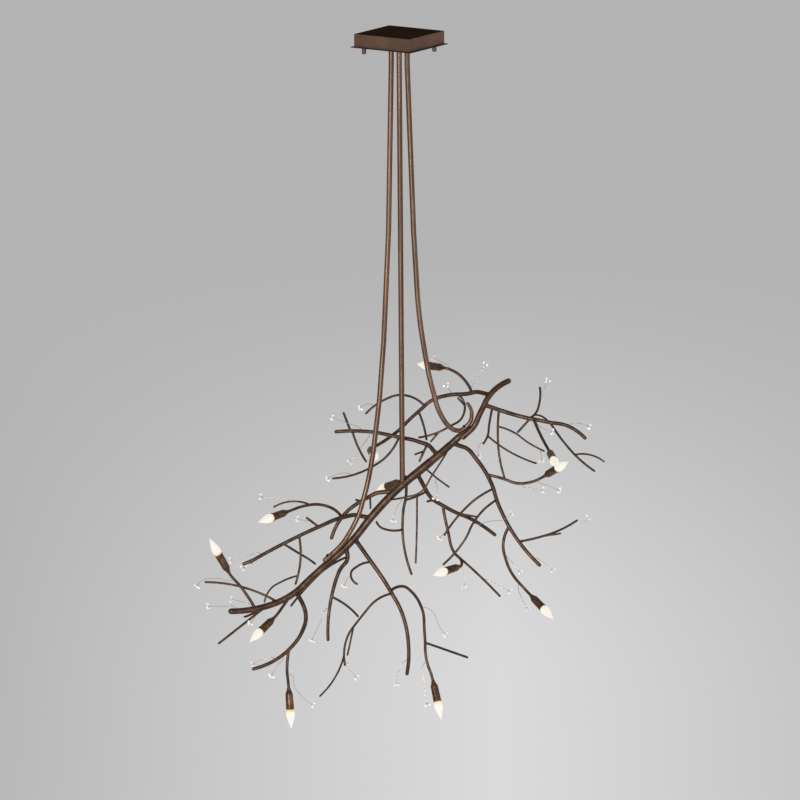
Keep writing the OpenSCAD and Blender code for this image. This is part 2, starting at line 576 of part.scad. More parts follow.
// Straight length of a hanging rod where it is bolted to the trunk
module lap_bar(centre, dir, back, ahead) {
  aim(centre - (back + 1) * dir, dir) cylinder(d = lap_d, h = back + ahead + 1);
}
module stem_left() {
  color(copper) difference() {
    union() {
      rod(left_stem, stem_d, lap_d + 0.2, false);
      lap_bar(left_centre, left_lap[1], 28, 20);
      translate(left_centre + 20 * left_lap[1]) sphere(d = lap_d - 0.2);
    }
    translate([-stem_gap, 0, -stem_top - 99]) cylinder(d = stem_d - 2 * stem_wall, h = 100);
    bolt_hole(left_centre, left_side, lap_d);
  }
}
module stem_centre() {
  color(copper) difference() {
    union() rod(centre_stem, stem_d, stem_d - 0.2, false);
    translate([0, 0, -stem_straight + 10]) cylinder(d = stem_d - 2 * stem_wall, h = stem_straight);
    translate([0, 0, -stem_top - 6]) cylinder(d1 = stem_d - 2 * stem_wall - 1, d2 = stem_d - 1.6, h = 7);
    aim(foot_centre + 40 * foot_side, -foot_side) cylinder(d = bolt_d + 2 * fit, h = 44);
  }
}
module stem_right() {
  color(copper) difference() {
    union() {
      rod(right_stem, stem_d, lap_d + 0.2, false);
      lap_bar(right_centre, lap_dir, 10, 12);
      rod(right_tip, lap_d - 0.2, 12, true, 1);
    }
    translate([stem_gap, 0, -stem_top - 99]) cylinder(d = stem_d - 2 * stem_wall, h = 100);
    bolt_hole(right_bolt, right_side, lap_d);
  }
}
module stem_bolts() {
  color("silver") {
    cross_bolt(left_centre, left_side, lap_d, lap_d + bolt_reach);
    cross_bolt(right_bolt, right_side, lap_d, lap_d + bolt_reach);
    cross_bolt(upper_bolt, upper_side, upper_d, upper_d + bolt_reach);
    cross_bolt(foot_centre, foot_side, trunk_d, trunk_d / 2 - 2);
  }
}

// ---- Trunk ----
module trunk_lower() {
  color(bronze) difference() {
    union() {
      rod(lower_left, trunk_taper[0], trunk_taper[1]);
      rod(lower_right, trunk_d - 0.1, trunk_right_d + 0.2, false, 1);
      aim(lap_at - 31 * lap_dir, lap_dir) cylinder(d = trunk_right_d, h = 50);
      translate(lap_at + 19 * lap_dir) sphere(d = trunk_right_d - 0.2);
      lamp_arm(arm_04);
      lamp_arm(arm_06);
      lamp_arm(arm_07);
      shoot(trunk_reach);
      shoot(trunk_spear);
      shoot(trunk_stub);
      fine(trunk_loop);
      fine(trunk_cross);
    }
    for (r = [low_right, low_middle, low_left, left, left_inner, high_left, right, middle_right]) seat(r);
    seat(centre, arm_d);
    aim(foot_end, -centre_dir) cylinder(d = stem_d + 2 * fit, h = 60);
    bolt_hole(left_centre, left_side, lap_d);
    bolt_hole(right_bolt, right_side, lap_d);
    bolt_hole(upper_bolt, upper_side, upper_d);
    aim(foot_centre + (trunk_d / 2 + 20) * foot_side, -foot_side) cylinder(d = bolt_d + 2 * fit, h = 30);
  }
}
module trunk_upper() {
  color(bronze) difference() {
    union() {
      aim(lap_at + upper_off - 24 * lap_dir, lap_dir) cylinder(d = upper_d, h = 45);
      rod(upper, upper_d - 0.2, upper_d - 1.2, true, 1);
    }
    seat(high_back);
    seat(high_right);
    bolt_hole(upper_bolt, upper_side, upper_d);
  }
}

// ---- Limbs ----
module limb_low_right() {
  color(bronze) union() {
    run(low_right);
    lamp_arm(arm_09);
    shoot(low_right_hook);
    shoot(low_right_sweep);
    shoot(arm_09_twig);
    fine(low_right_tail);
    fine(low_right_fine);
  }
}
module limb_low_middle() {
  color(bronze) union() {
    rod(low_middle, slim_taper[0], slim_taper[1]);
    shoot(low_middle_under);
    shoot(low_middle_link);
  }
}
module limb_low_left() {
  color(bronze) union() {
    run(low_left);
    lamp_arm(arm_08);
  }
}
module limb_left() {
  color(bronze) union() {
    run(left);
    lamp_arm(arm_05);
    shoot(left_spur);
    shoot(left_fall);
    shoot(left_brace);
    fine(left_bow);
    fine(arm_05_twig);
  }
}
module limb_left_inner() {
  color(bronze) union() {
    run(left_inner);
    shoot(left_inner_stub);
    fine(left_inner_drop);
  }
}
module limb_high_left() {
  color(bronze) union() {
    run(high_left);
    shoot(high_left_up);
    shoot(high_left_down);
    shoot(high_left_sweep);
    shoot(high_left_drop);
    fine(high_left_fine);
  }
}
module limb_high_back() {
  color(bronze) union() {
    rod(high_back, slim_taper[0], slim_taper[1], false);
    peg(lamps[11]);
    lamp_arm(arm_01);
    shoot(high_back_arch);
    shoot(high_back_loop);
    shoot(high_back_drop);
    fine(high_back_fine);
  }
}
module limb_high_right() {
  color(bronze) union() {
    run(high_right);
    lamp_arm(arm_02);
    shoot(high_right_up);
    shoot(high_right_fork);
    shoot(high_right_fall);
    shoot(high_right_brace);
    shoot(high_right_run);
    fine(high_right_bow);
    fine(high_right_long);
    fine(high_right_sweep);
    fine(high_right_curl);
  }
}
module limb_right() {
  color(bronze) union() {
    run(right);
    lamp_arm(arm_03);
    lamp_arm(arm_11);
    shoot(right_upper_twig);
    shoot(right_lower_twig);
    shoot(right_reach);
    fine(right_reach_fork);
  }
}
module limb_middle_right() {
  color(bronze) union() {
    run(middle_right);
    lamp_arm(arm_10);
    shoot(middle_right_spur);
    fine(middle_right_fine);
    shoot(arm_10_twig);
  }
}
module limb_centre() {
  color(bronze) union() {
    rod(centre, arm_d, twig_d);
    shoot(centre_hook);
    shoot(centre_link);
    fine(centre_drop);
  }
}

// ---- Lamps ----
module socket_cups() {
  color(bronze) for (k = lamps) aim(k[0] + face_gap * k[1], k[1]) difference() {
    rotate_extrude() polygon([[0, 0], [neck_d / 2, 0], [neck_d / 2 + 0.6, 5], [neck_d / 2 + 2.6, 11],
      [cup_d / 2 - 2, 18], [cup_d / 2, neck_l], [cup_rim_d / 2 - 0.8, cup_l - 3], [cup_rim_d / 2, cup_l],
      [cup_rim_d / 2 - cup_wall, cup_l], [cup_d / 2 - cup_wall, cavity], [0, cavity]]);
    translate([0, 0, -1]) cylinder(d = peg_d + 2 * fit, h = peg_l + 2);
    translate([0, 0, peg_l]) cylinder(d = 5, h = cavity - peg_l + 1);
  }
}
module lamp_sockets() {
  color("ivory") for (k = lamps) aim(k[0] + (cavity + 2 * face_gap) * k[1], k[1]) difference() {
    cylinder(d = socket_d, h = socket_top - cavity - face_gap);
    translate([0, 0, socket_top - cavity - base_l - 3]) cylinder(d = base_d + 0.6, h = base_l + 4);
  }
}
module bulb_base(i) {
  color(brass) aim(lamps[i - 1][0] + (glass_foot - base_l) * lamps[i - 1][1], lamps[i - 1][1])
    rotate_extrude() polygon([[0, -1.6], [2.2, -1.6], [2.6, 0], [base_d * 0.42, 1.2], [base_d / 2, 3],
      [base_d / 2, base_l - 1], [base_d / 2 - 0.4, base_l - face_gap], [0, base_l - face_gap]]);
}
// Half outline of the flame bulb: a round shoulder, then a slow taper to the tip
function flame(t) = [bulb_d / 2 * sin(180 * pow(t, 0.62)) * (1 - 0.12 * t) + (t < 1 ? 4.6 * pow(1 - t, 3) : 0),
  bulb_l * t];
module bulb_glass(i) {
  steps = 14;
  outer = [for (j = [0:steps]) [max(flame(j / steps)[0], 0), flame(j / steps)[1]]];
  inner = [for (j = [1:steps - 2]) [outer[j][0] - 1.15 * bulb_wall, outer[j][1]]];
  color("white", 0.9) aim(lamps[i - 1][0] + glass_foot * lamps[i - 1][1], lamps[i - 1][1])
    rotate_extrude() polygon(concat(outer, [[0, bulb_l - 5 * bulb_wall]],
      [for (j = [len(inner) - 1:-1:0]) inner[j]], [[outer[0][0] - 1.15 * bulb_wall, 0]]));
}

// ---- Glass bead sprays ----
// Each spray: host route, its taper, place where the wire leaves, places along the wire
sprays = [
  [arm_01, arm_taper, [450, 369.5], [[441, 361.5, 30], [435, 359, 28]]],
  [arm_01, arm_taper, [470, 388], [[485, 365.5, 22]]],
  [high_back, slim_taper, [452, 395], [[447.5, 386.5, 22]]],
  [high_right_up, twig_taper, [540, 398], [[544, 390, 17], [547, 382, 14]]],
  [high_back_arch, twig_taper, [374, 407], [[367, 404, 28], [361.5, 407, 24]]],
  [high_left, limb_taper, [362, 431], [[347, 423, 18], [334, 418.5, 14]]],
  [high_left, limb_taper, [371, 432], [[362, 446, 30], [351, 461, 32]]],
  [high_left_sweep, twig_taper, [350, 475], [[338, 474, 8], [329, 478, 4]]],
  [trunk_loop, fine_taper, [402, 497.5], [[396, 509, -14], [393.5, 519, -16]]],
  [arm_05_twig, fine_taper, [289, 502], [[275, 498, -10], [262.5, 497, -8]]],
  [left_spur, twig_taper, [309, 520], [[299, 519.5, -8]]],
  [left, limb_taper, [262, 556], [[243, 558, -10], [232, 560.5, -8]]],
  [left, limb_taper, [252, 561], [[244, 567.5, -18]]],
  [arm_06, arm_taper, [234, 579], [[215, 578.5, -16], [203, 580, -20], [198, 585, -22]]],
  [lower_left, trunk_taper, [237, 611], [[220, 606.5, -18], [209.5, 606.5, -20]]],
  [lower_left, trunk_taper, [252, 609], [[242, 602, -6], [233, 600, -2]]],
  [trunk_spear, twig_taper, [254, 616], [[251, 622, -20]]],
  [low_right_hook, twig_taper, [351.5, 576], [[344.5, 584.5, -26]]],
  [low_middle, slim_taper, [329.5, 608], [[320, 623, -18], [312.5, 639, -22]]],
  [low_left, limb_taper, [276, 659.5], [[263, 659, -28], [254, 663.5, -26]]],
  [low_left, limb_taper, [282, 655.5], [[277, 666, -36], [272, 674.5, -40]]],
  [arm_08, arm_taper, [287.3, 674], [[296, 690, -24], [311, 704.5, -20]]],
  [low_right_sweep, twig_taper, [345, 662], [[350, 670, -42], [355, 676.5, -42]]],
  [low_right, limb_taper, [408, 660], [[399, 671, -24], [397, 683, -26]]],
  [arm_09, arm_taper, [429.5, 662], [[424.5, 686, 0], [427, 703.5, -2]]],
  [arm_09, arm_taper, [423, 608], [[444, 633.5, 10]]],
  [high_right, limb_taper, [569, 427], [[580, 423.5, -4], [587.5, 426, -2]]],
  [high_right, limb_taper, [537, 420.3], [[544.5, 429, -4], [550.5, 431.5, -6]]],
  [high_right_sweep, fine_taper, [541, 449.5], [[542, 458.5, -8]]],
  [arm_03, arm_taper, [522, 483.5], [[531, 488, -17], [541.5, 490, -20]]],
  [arm_03, arm_taper, [537, 480.5], [[548, 485.5, -16], [557.5, 490, -14]]],
  [right_reach, twig_taper, [570, 524.7], [[579, 524.5, -14], [587.5, 519, -16]]],
  [right_lower_twig, twig_taper, [474, 522], [[491, 521, -20], [505, 519, -28], [510.5, 514.5, -30]]],
  [right, limb_taper, [534, 558.5], [[544, 563, -36], [551.5, 569, -38]]],
  [arm_11, arm_taper, [505, 556], [[511, 561, -28], [519, 570.5, -31]]],
  [arm_10_twig, twig_taper, [485, 580], [[496, 584.5, 10], [508.5, 591, 8]]],
  [arm_11, arm_taper, [519.5, 582], [[521, 597, -30], [526.5, 607.5, -33]]],
  [arm_10_twig, twig_taper, [463, 561.5], [[464, 574, 6], [465, 585, 4]]],
  [right_upper_twig, twig_taper, [446, 533], [[440.5, 537, -4]]],
  [high_right_fork, twig_taper, [485, 441.5], [[478, 448.5, 24], [478.5, 455.5, 22]]],
  [trunk_cross, fine_taper, [437, 478.5], [[437.3, 488, -12], [436.3, 497, -14]]]];
// The wire's foot stands on the host rod's skin
function spray_route(s) =
  let (at_host = nearest(s[0], s[2]), k = spot(s[0], at_host), p = put(s[3]),
    out = aside(k[1], unit(p[0] - k[0])), start = unit(1.6 * out + unit(p[0] - k[0])),
    lift = skin(s[0], s[1], at_host) + 1.8 * lap_gap + wire_d / 2 * norm(cross(start, out)))
  route(concat([k[0] + lift * out], p), start);
spray_routes = [for (s = sprays) spray_route(s)];
// The three prongs lean out round the wire's end
function prong(k, i) =
  let (t = k[1], turn = atan2(t[1], t[0]), b = [cos(turn) * t[2], sin(turn) * t[2], -norm([t[0], t[1]])],
    a = cross(b, t))
  unit(t + 1.3 * (cos(120 * i + 30) * a + sin(120 * i + 30) * b));
blob_d = wire_d + 1.6;
module crystal_wires() {
  color(copper) for (r = spray_routes) union() {
    k = end_of(r);
    rod(r, wire_d, wire_d - 0.5, false);
    aim(k[0], k[1]) sphere(d = blob_d);
    for (i = [0:2]) aim(k[0] + 0.6 * prong(k, i), prong(k, i))
      cylinder(d = wire_d - 0.6, h = prong_l - bead_d / 2 + 2);
  }
}
// Cut bead with a blind hole that its prong is glued into
bead_bore = wire_d - 0.6 + 2 * fit;
module crystal_beads() {
  color("white", 0.7) for (r = spray_routes) {
    k = end_of(r);
    for (i = [0:2]) aim(k[0] + prong_l * prong(k, i), prong(k, i)) rotate_extrude() polygon([
      [0, 2.8 - bead_d / 2], [bead_bore / 2, 2.8 - bead_d / 2], [bead_bore / 2, -bead_d * 0.48],
      [bead_d * 0.25, -bead_d * 0.48], [bead_d * 0.45, -bead_d * 0.22], [bead_d / 2, 0],
      [bead_d * 0.45, bead_d * 0.22], [bead_d * 0.25, bead_d * 0.48], [0, bead_d * 0.48]]);
  }
}

canopy_box();
canopy_cover();
thumb_screw_left();
thumb_screw_right();
carrier_bar();
stem_nuts();
stud_nuts();
fixture_leads();
ground_lead();
wire_connectors();
ground_screw();
stem_left();
stem_centre();
stem_right();
stem_bolts();
trunk_lower();
trunk_upper();
limb_low_right();
limb_low_middle();
limb_low_left();
limb_left();
limb_left_inner();
limb_high_left();
limb_high_back();
limb_high_right();
limb_right();
limb_middle_right();
limb_centre();
socket_cups();
lamp_sockets();
crystal_wires();
crystal_beads();
bulb_base(1);  // bulb_base_01
bulb_base(2);  // bulb_base_02
bulb_base(3);  // bulb_base_03
bulb_base(4);  // bulb_base_04
bulb_base(5);  // bulb_base_05
bulb_base(6);  // bulb_base_06
bulb_base(7);  // bulb_base_07
bulb_base(8);  // bulb_base_08
bulb_base(9);  // bulb_base_09
bulb_base(10);  // bulb_base_10
bulb_base(11);  // bulb_base_11
bulb_base(12);  // bulb_base_12
bulb_glass(1);  // bulb_glass_01
bulb_glass(2);  // bulb_glass_02
bulb_glass(3);  // bulb_glass_03
bulb_glass(4);  // bulb_glass_04
bulb_glass(5);  // bulb_glass_05
bulb_glass(6);  // bulb_glass_06
bulb_glass(7);  // bulb_glass_07
bulb_glass(8);  // bulb_glass_08
bulb_glass(9);  // bulb_glass_09
bulb_glass(10);  // bulb_glass_10
bulb_glass(11);  // bulb_glass_11
bulb_glass(12);  // bulb_glass_12
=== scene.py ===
"""Branch chandelier: the dressed visual model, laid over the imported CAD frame.

The welded branch, its rods and its canopy are smoothed copies of the CAD nodes. The
bulbs, the cut beads and the knurls are made here, on the bodies that carry them.
"""

import json
import logging
import math
from dataclasses import dataclass
from enum import Enum
from typing import Any, Callable, Dict, Iterable, List, Mapping, Optional, Sequence, Tuple, Union

import bmesh
import bpy
import numpy as np
from mathutils import Matrix, Vector
from mathutils.bvhtree import BVHTree
from mathutils.kdtree import KDTree

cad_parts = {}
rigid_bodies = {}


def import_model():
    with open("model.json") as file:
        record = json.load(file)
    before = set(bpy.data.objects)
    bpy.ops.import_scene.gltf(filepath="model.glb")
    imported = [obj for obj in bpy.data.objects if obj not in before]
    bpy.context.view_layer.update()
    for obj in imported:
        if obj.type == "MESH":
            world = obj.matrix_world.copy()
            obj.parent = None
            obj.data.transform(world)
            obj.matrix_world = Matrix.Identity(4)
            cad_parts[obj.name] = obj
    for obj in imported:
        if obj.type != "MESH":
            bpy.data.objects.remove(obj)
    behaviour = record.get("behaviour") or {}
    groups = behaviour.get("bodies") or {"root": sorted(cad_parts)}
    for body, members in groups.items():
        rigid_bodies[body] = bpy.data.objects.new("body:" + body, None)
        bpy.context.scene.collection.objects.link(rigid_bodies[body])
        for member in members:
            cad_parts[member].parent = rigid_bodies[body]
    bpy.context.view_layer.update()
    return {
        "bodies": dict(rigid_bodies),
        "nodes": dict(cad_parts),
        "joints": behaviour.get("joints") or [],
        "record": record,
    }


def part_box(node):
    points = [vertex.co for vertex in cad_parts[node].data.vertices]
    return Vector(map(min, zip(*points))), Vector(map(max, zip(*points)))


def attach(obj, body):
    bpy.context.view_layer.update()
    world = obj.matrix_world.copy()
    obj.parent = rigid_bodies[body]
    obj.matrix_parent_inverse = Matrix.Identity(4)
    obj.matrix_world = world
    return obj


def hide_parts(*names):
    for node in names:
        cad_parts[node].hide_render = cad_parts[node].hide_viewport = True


log = logging.getLogger("chandelier")

Colour = Tuple[float, float, float]
FIXTURE = "fixture"
COVER = "cover"


def srgb(red: float, green: float, blue: float) -> Colour:
    """Turn a colour as seen on a screen into the linear one that a shader takes.

    Args:
        red: red, 0 to 255.
        green: green, 0 to 255.
        blue: blue, 0 to 255.

    Returns:
        The linear colour.
    """

    def one(value: float) -> float:
        """Give one channel in linear light."""
        part = value / 255
        return part / 12.92 if part <= 0.04045 else ((part + 0.055) / 1.055) ** 2.4

    return one(red), one(green), one(blue)


class Slot(Enum):
    """The record's material slots; each finish carries one, which nothing here reads."""

    BRONZE = "bronze"
    COPPER_BROWN = "copper_brown"
    STEEL = "steel"
    GREEN = "green"
    LEAD_JACKET = "lead_jacket"
    ORANGE_PLASTIC = "orange_plastic"
    SOCKET_PLASTIC = "socket_plastic"
    COPPER_WIRE = "copper_wire"
    CLEAR_GLASS = "clear_glass"
    BRASS = "brass"
    BULB_GLASS = "bulb_glass"


# ---------------------------------------------------------------- shader maths


class Term:
    """A node's output that takes part in Python sums."""

    def __init__(self, graph: "Graph", socket: bpy.types.NodeSocket) -> None:
        """Keep the graph and the socket."""
        self.graph = graph
        self.socket = socket

    def _math(self, operation: str, first: Any, second: Any) -> "Term":
        """Add one Math node.

        Args:
            operation: the Math node's operation.
            first: a number or a Term.
            second: a number or a Term.

        Returns:
            The node's result.
        """
        return self.graph.node("ShaderNodeMath", {"operation": operation}, {0: first, 1: second})

    def __add__(self, other: Any) -> "Term":
        """Give self + other."""
        return self._math("ADD", self, other)

    def __radd__(self, other: Any) -> "Term":
        """Give other + self."""
        return self._math("ADD", other, self)

    def __sub__(self, other: Any) -> "Term":
        """Give self - other."""
        return self._math("SUBTRACT", self, other)

    def __rsub__(self, other: Any) -> "Term":
        """Give other - self."""
        return self._math("SUBTRACT", other, self)

    def __mul__(self, other: Any) -> "Term":
        """Give self * other."""
        return self._math("MULTIPLY", self, other)

    def __rmul__(self, other: Any) -> "Term":
        """Give other * self."""
        return self._math("MULTIPLY", other, self)

    def above(self, floor: Any) -> "Term":
        """Give self, or floor where self is less."""
        return self._math("MAXIMUM", self, floor)

    def unsigned(self) -> "Term":
        """Give self without its sign."""
        return self._math("ABSOLUTE", self, 0.0)

    def ramp(self, low: float, high: float) -> "Term":
        """Give a smooth step.

        Args:
            low: where it leaves 0.
            high: where it reaches 1.

        Returns:
            0 to 1.
        """
        return self.graph.node(
            "ShaderNodeMapRange",
            {"interpolation_type": "SMOOTHSTEP"},
            {"Value": self, "From Min": low, "From Max": high},
        )


class Graph:
    """A material's or a world's node tree, and the one way to add a node to it."""

    def __init__(self, tree: bpy.types.NodeTree) -> None:
        """Empty the tree."""
        self.tree = tree
        tree.nodes.clear()

    def node(
        self,
        kind: str,
        settings: Optional[Mapping[str, Any]] = None,
        inputs: Optional[Mapping[Union[str, int], Any]] = None,
        output: Union[str, int] = 0,
    ) -> Term:
        """Add a node.

        Args:
            kind: the node's type.
            settings: its properties, or "stops" for a colour ramp, as (place, colour).
            inputs: a value or a Term for each socket, by name or number.
            output: the socket to give back.

        Returns:
            That output.
        """
        made = self.tree.nodes.new(kind)
        for name, value in (settings or {}).items():
            if name == "stops":
                self._stops(made.color_ramp, value)
            else:
                setattr(made, name, value)
        for name, value in (inputs or {}).items():
            self.feed(made.inputs[name], value)
        return Term(self, made.outputs[output])

    def feed(self, socket: bpy.types.NodeSocket, value: Any) -> None:
        """Link a Term to the socket, or set its value.

        Args:
            socket: the input socket.
            value: a Term, a number, or a colour or vector.
        """
        if isinstance(value, Term):
            self.tree.links.new(value.socket, socket)
            return
        if socket.type == "RGBA" and len(value) == 3:
            value = (*value, 1.0)
        socket.default_value = value

    @staticmethod
    def _stops(ramp: bpy.types.ColorRamp, stops: Sequence[Tuple[float, Colour]]) -> None:
        """Set a colour ramp's stops.

        Args:
            ramp: the ramp, with its two first stops.
            stops: (place, colour) for each stop, in order.
        """
        while len(ramp.elements) < len(stops):
            ramp.elements.new(1.0)
        for element, (place, colour) in zip(ramp.elements, stops):
            element.position = place
            element.color = (*colour, 1.0)

    def mix(self, factor: Any, first: Any, second: Any) -> Term:
        """Mix two colours.

        Args:
            factor: 0 for the first, 1 for the second.
            first: a colour or a Term.
            second: a colour or a Term.

        Returns:
            The mixed colour.
        """
        made = self.tree.nodes.new("ShaderNodeMix")
        made.data_type = "RGBA"
        self.feed(made.inputs[0], factor)
        self.feed(made.inputs[6], first)
        self.feed(made.inputs[7], second)
        return Term(self, made.outputs[2])

    def noise(self, scale: float, detail: float = 3.0, stretch: Sequence[float] = (1, 1, 1)) -> Term:
        """Give a noise over the object's own coordinates.

        Args:
            scale: waves in a metre.
            detail: octaves.
            stretch: scale along each axis.

        Returns:
            A number of about 0.25 to 0.75.
        """
        place = self.node("ShaderNodeTexCoord", output="Object")
        place = self.node("ShaderNodeMapping", None, {"Vector": place, "Scale": tuple(stretch)})
        return self.node("ShaderNodeTexNoise", None, {"Vector": place, "Scale": scale, "Detail": detail})

    def bump(self, height: Any, depth: float) -> Term:
        """Give the normal of a bumpy surface.

        Args:
            height: the height, 0 to 1.
            depth: what 1 stands for, in metres.

        Returns:
            The normal.
        """
        return self.node("ShaderNodeBump", None, {"Height": height, "Distance": depth, "Strength": 1.0})

    def surface(self, **sockets: Any) -> Term:
        """Add the main shader.

        Args:
            **sockets: its sockets, with _ for each space.

        Returns:
            The shader.
        """
        named = {name.replace("_", " "): value for name, value in sockets.items()}
        return self.node("ShaderNodeBsdfPrincipled", None, named)

    def end(self, shader: Term, kind: str = "ShaderNodeOutputMaterial") -> None:
        """Send the shader to the output."""
        self.feed(self.tree.nodes.new(kind).inputs["Surface"], shader)


# --------------------------------------------------------------------- finishes


@dataclass(frozen=True)
class Finish:
    """A surface's finish; each kind paints its own material."""

    name: str
    slot: Slot

    def material(self) -> bpy.types.Material:
        """Give the finish's material, made the first time it is asked for."""
        found = bpy.data.materials.get(self.name)
        if found is None:
            found = bpy.data.materials.new(self.name)
            found.use_nodes = True
            self.paint(Graph(found.node_tree))
        return found

    def paint(self, graph: Graph) -> None:
        """Build the nodes.

        Args:
            graph: the material's node tree.
        """
        raise NotImplementedError


@dataclass(frozen=True)
class BronzePaint(Finish):
    """Hand-rubbed bronze paint: a dark coat with lighter, coppery rubbed patches."""

    dark: Colour = srgb(60, 41, 29)
    rubbed: Colour = srgb(96, 71, 54)
    patch: float = 30.0
    streak: Tuple[float, float, float] = (1, 1, 1)
    roughness: float = 0.42
    metallic: float = 0.62
    dent: float = 0.0002
    speck: float = 0.05
    shine: float = 0.5

    def paint(self, graph: Graph) -> None:
        """Mottle the colour and the gloss, and hammer the surface a little.

        Args:
            graph: the material's node tree.
        """
        broad = graph.noise(self.patch, 4.0, self.streak)
        fine = graph.noise(self.patch * 9, 3.0, self.streak)
        rub = (broad * 0.8 + fine * 0.2).ramp(0.36, 0.68)
        specks = graph.noise(self.patch * 40, 2.0)
        colour = graph.mix(rub, self.dark, self.rubbed)
        colour = graph.mix(specks.ramp(0.62, 0.74) * self.speck, colour, srgb(168, 134, 108))
        gloss = self.roughness + (0.5 - fine) * 0.12 + (0.5 - rub) * 0.06
        height = broad * 0.7 + fine * 0.25 + specks * 0.05
        graph.end(
            graph.surface(
                Base_Color=colour,
                Metallic=self.metallic,
                Roughness=gloss,
                Specular_IOR_Level=self.shine,
                Normal=graph.bump(height, self.dent),
            )
        )


@dataclass(frozen=True)
class PlainMetal(Finish):
    """Bare or plated metal with fine brush marks."""

    colour: Colour = srgb(170, 170, 170)
    roughness: float = 0.34
    grain: Tuple[float, float, float] = (1, 1, 12)

    def paint(self, graph: Graph) -> None:
        """Vary the gloss along the brush marks.

        Args:
            graph: the material's node tree.
        """
        brush = graph.noise(420, 3.0, self.grain)
        stain = graph.noise(60, 3.0)
        colour = graph.mix(stain.ramp(0.4, 0.7) * 0.3, self.colour, tuple(c * 0.6 for c in self.colour))
        graph.end(
            graph.surface(
                Base_Color=colour,
                Metallic=0.9,
                Roughness=self.roughness + (brush - 0.5) * 0.3,
                Normal=graph.bump(brush, 0.00012),
            )
        )


@dataclass(frozen=True)
class MouldedPlastic(Finish):
    """Moulded plastic or a lead's jacket, with a faint orange-peel skin."""

    colour: Colour = srgb(220, 214, 200)
    roughness: float = 0.5

    def paint(self, graph: Graph) -> None:
        """Give the skin its grain and dust.

        Args:
            graph: the material's node tree.
        """
        skin = graph.noise(900, 2.0)
        dust = graph.noise(45, 3.0)
        colour = graph.mix(dust.ramp(0.45, 0.75) * 0.25, self.colour, tuple(c * 0.72 for c in self.colour))
        graph.end(
            graph.surface(
                Base_Color=colour,
                Roughness=self.roughness + (skin - 0.5) * 0.2,
                Normal=graph.bump(skin, 0.0001),
            )
        )


@dataclass(frozen=True)
class CutGlass(Finish):
    """Clear cut glass with a white, faintly glowing skin of painted glints, so that it shows pale against
    any ground.
    """

    # the glass's tint, which is also the colour of its painted glints
    tint: Colour = srgb(248, 243, 240)

    def paint(self, graph: Graph) -> None:
        """Mix glass with a pale, bright skin of painted glints and glow at the facets.

        Args:
            graph: the material's node tree.
        """
        fleck = graph.noise(260, 2.0)
        glass = graph.surface(
            Base_Color=self.tint,
            Roughness=0.04,
            IOR=1.5,
            Transmission_Weight=1.0,
            Normal=graph.bump(fleck, 0.0001),
        )
        # painted glints: a white skin that glows a little, though a bead is no lamp
        pale = graph.surface(
            Base_Color=self.tint, Roughness=0.12, Emission_Color=self.tint, Emission_Strength=0.22
        )
        # how much of the painted glint skin shows, more where the noise flecks
        share = 0.40 + fleck.ramp(0.42, 0.62) * 0.42
        graph.end(graph.node("ShaderNodeMixShader", None, {0: share, 1: glass, 2: pale}))


@dataclass(frozen=True)
class GlowingGlass(Finish):
    """Lit candle bulb glass: near white in the body, paler at the tip, and warm orange at the foot, where
    the orange is a painted reflection of the bulb's light in the cup's rim.
    """

    # painted reflection: the orange of the bulb's light in the cup's rim, laid on the glass's foot
    foot: Colour = srgb(255, 150, 60)
    body: Colour = srgb(255, 247, 236)
    tip: Colour = srgb(244, 236, 226)
    strength: float = 0.82

    def paint(self, graph: Graph) -> None:
        """Ramp the glow along the bulb, by the height kept in its UV map; its orange foot is painted
        reflection.

        Args:
            graph: the material's node tree.
        """
        place = graph.node("ShaderNodeUVMap", {"uv_map": "along"})
        along = graph.node("ShaderNodeSeparateXYZ", None, {0: place}, "Y")
        cloud = graph.noise(70, 2.0)
        level = along + (cloud - 0.5) * 0.10
        glow = graph.node(
            "ShaderNodeValToRGB",
            {
                "stops": [
                    # the orange foot stops, fading out by 0.11, are painted reflection of the bulb's light
                    # in the cup's rim
                    (0.0, self.foot),
                    (0.06, self.foot),
                    (0.11, srgb(255, 214, 150)),
                    (0.20, self.body),
                    (0.72, self.body),
                    (1.0, self.tip),
                ]
            },
            {0: level},
        )
        graph.end(
            graph.surface(
                Base_Color=srgb(112, 109, 104),
                Roughness=0.16,
                Emission_Color=glow,
                Emission_Strength=self.strength,
            )
        )


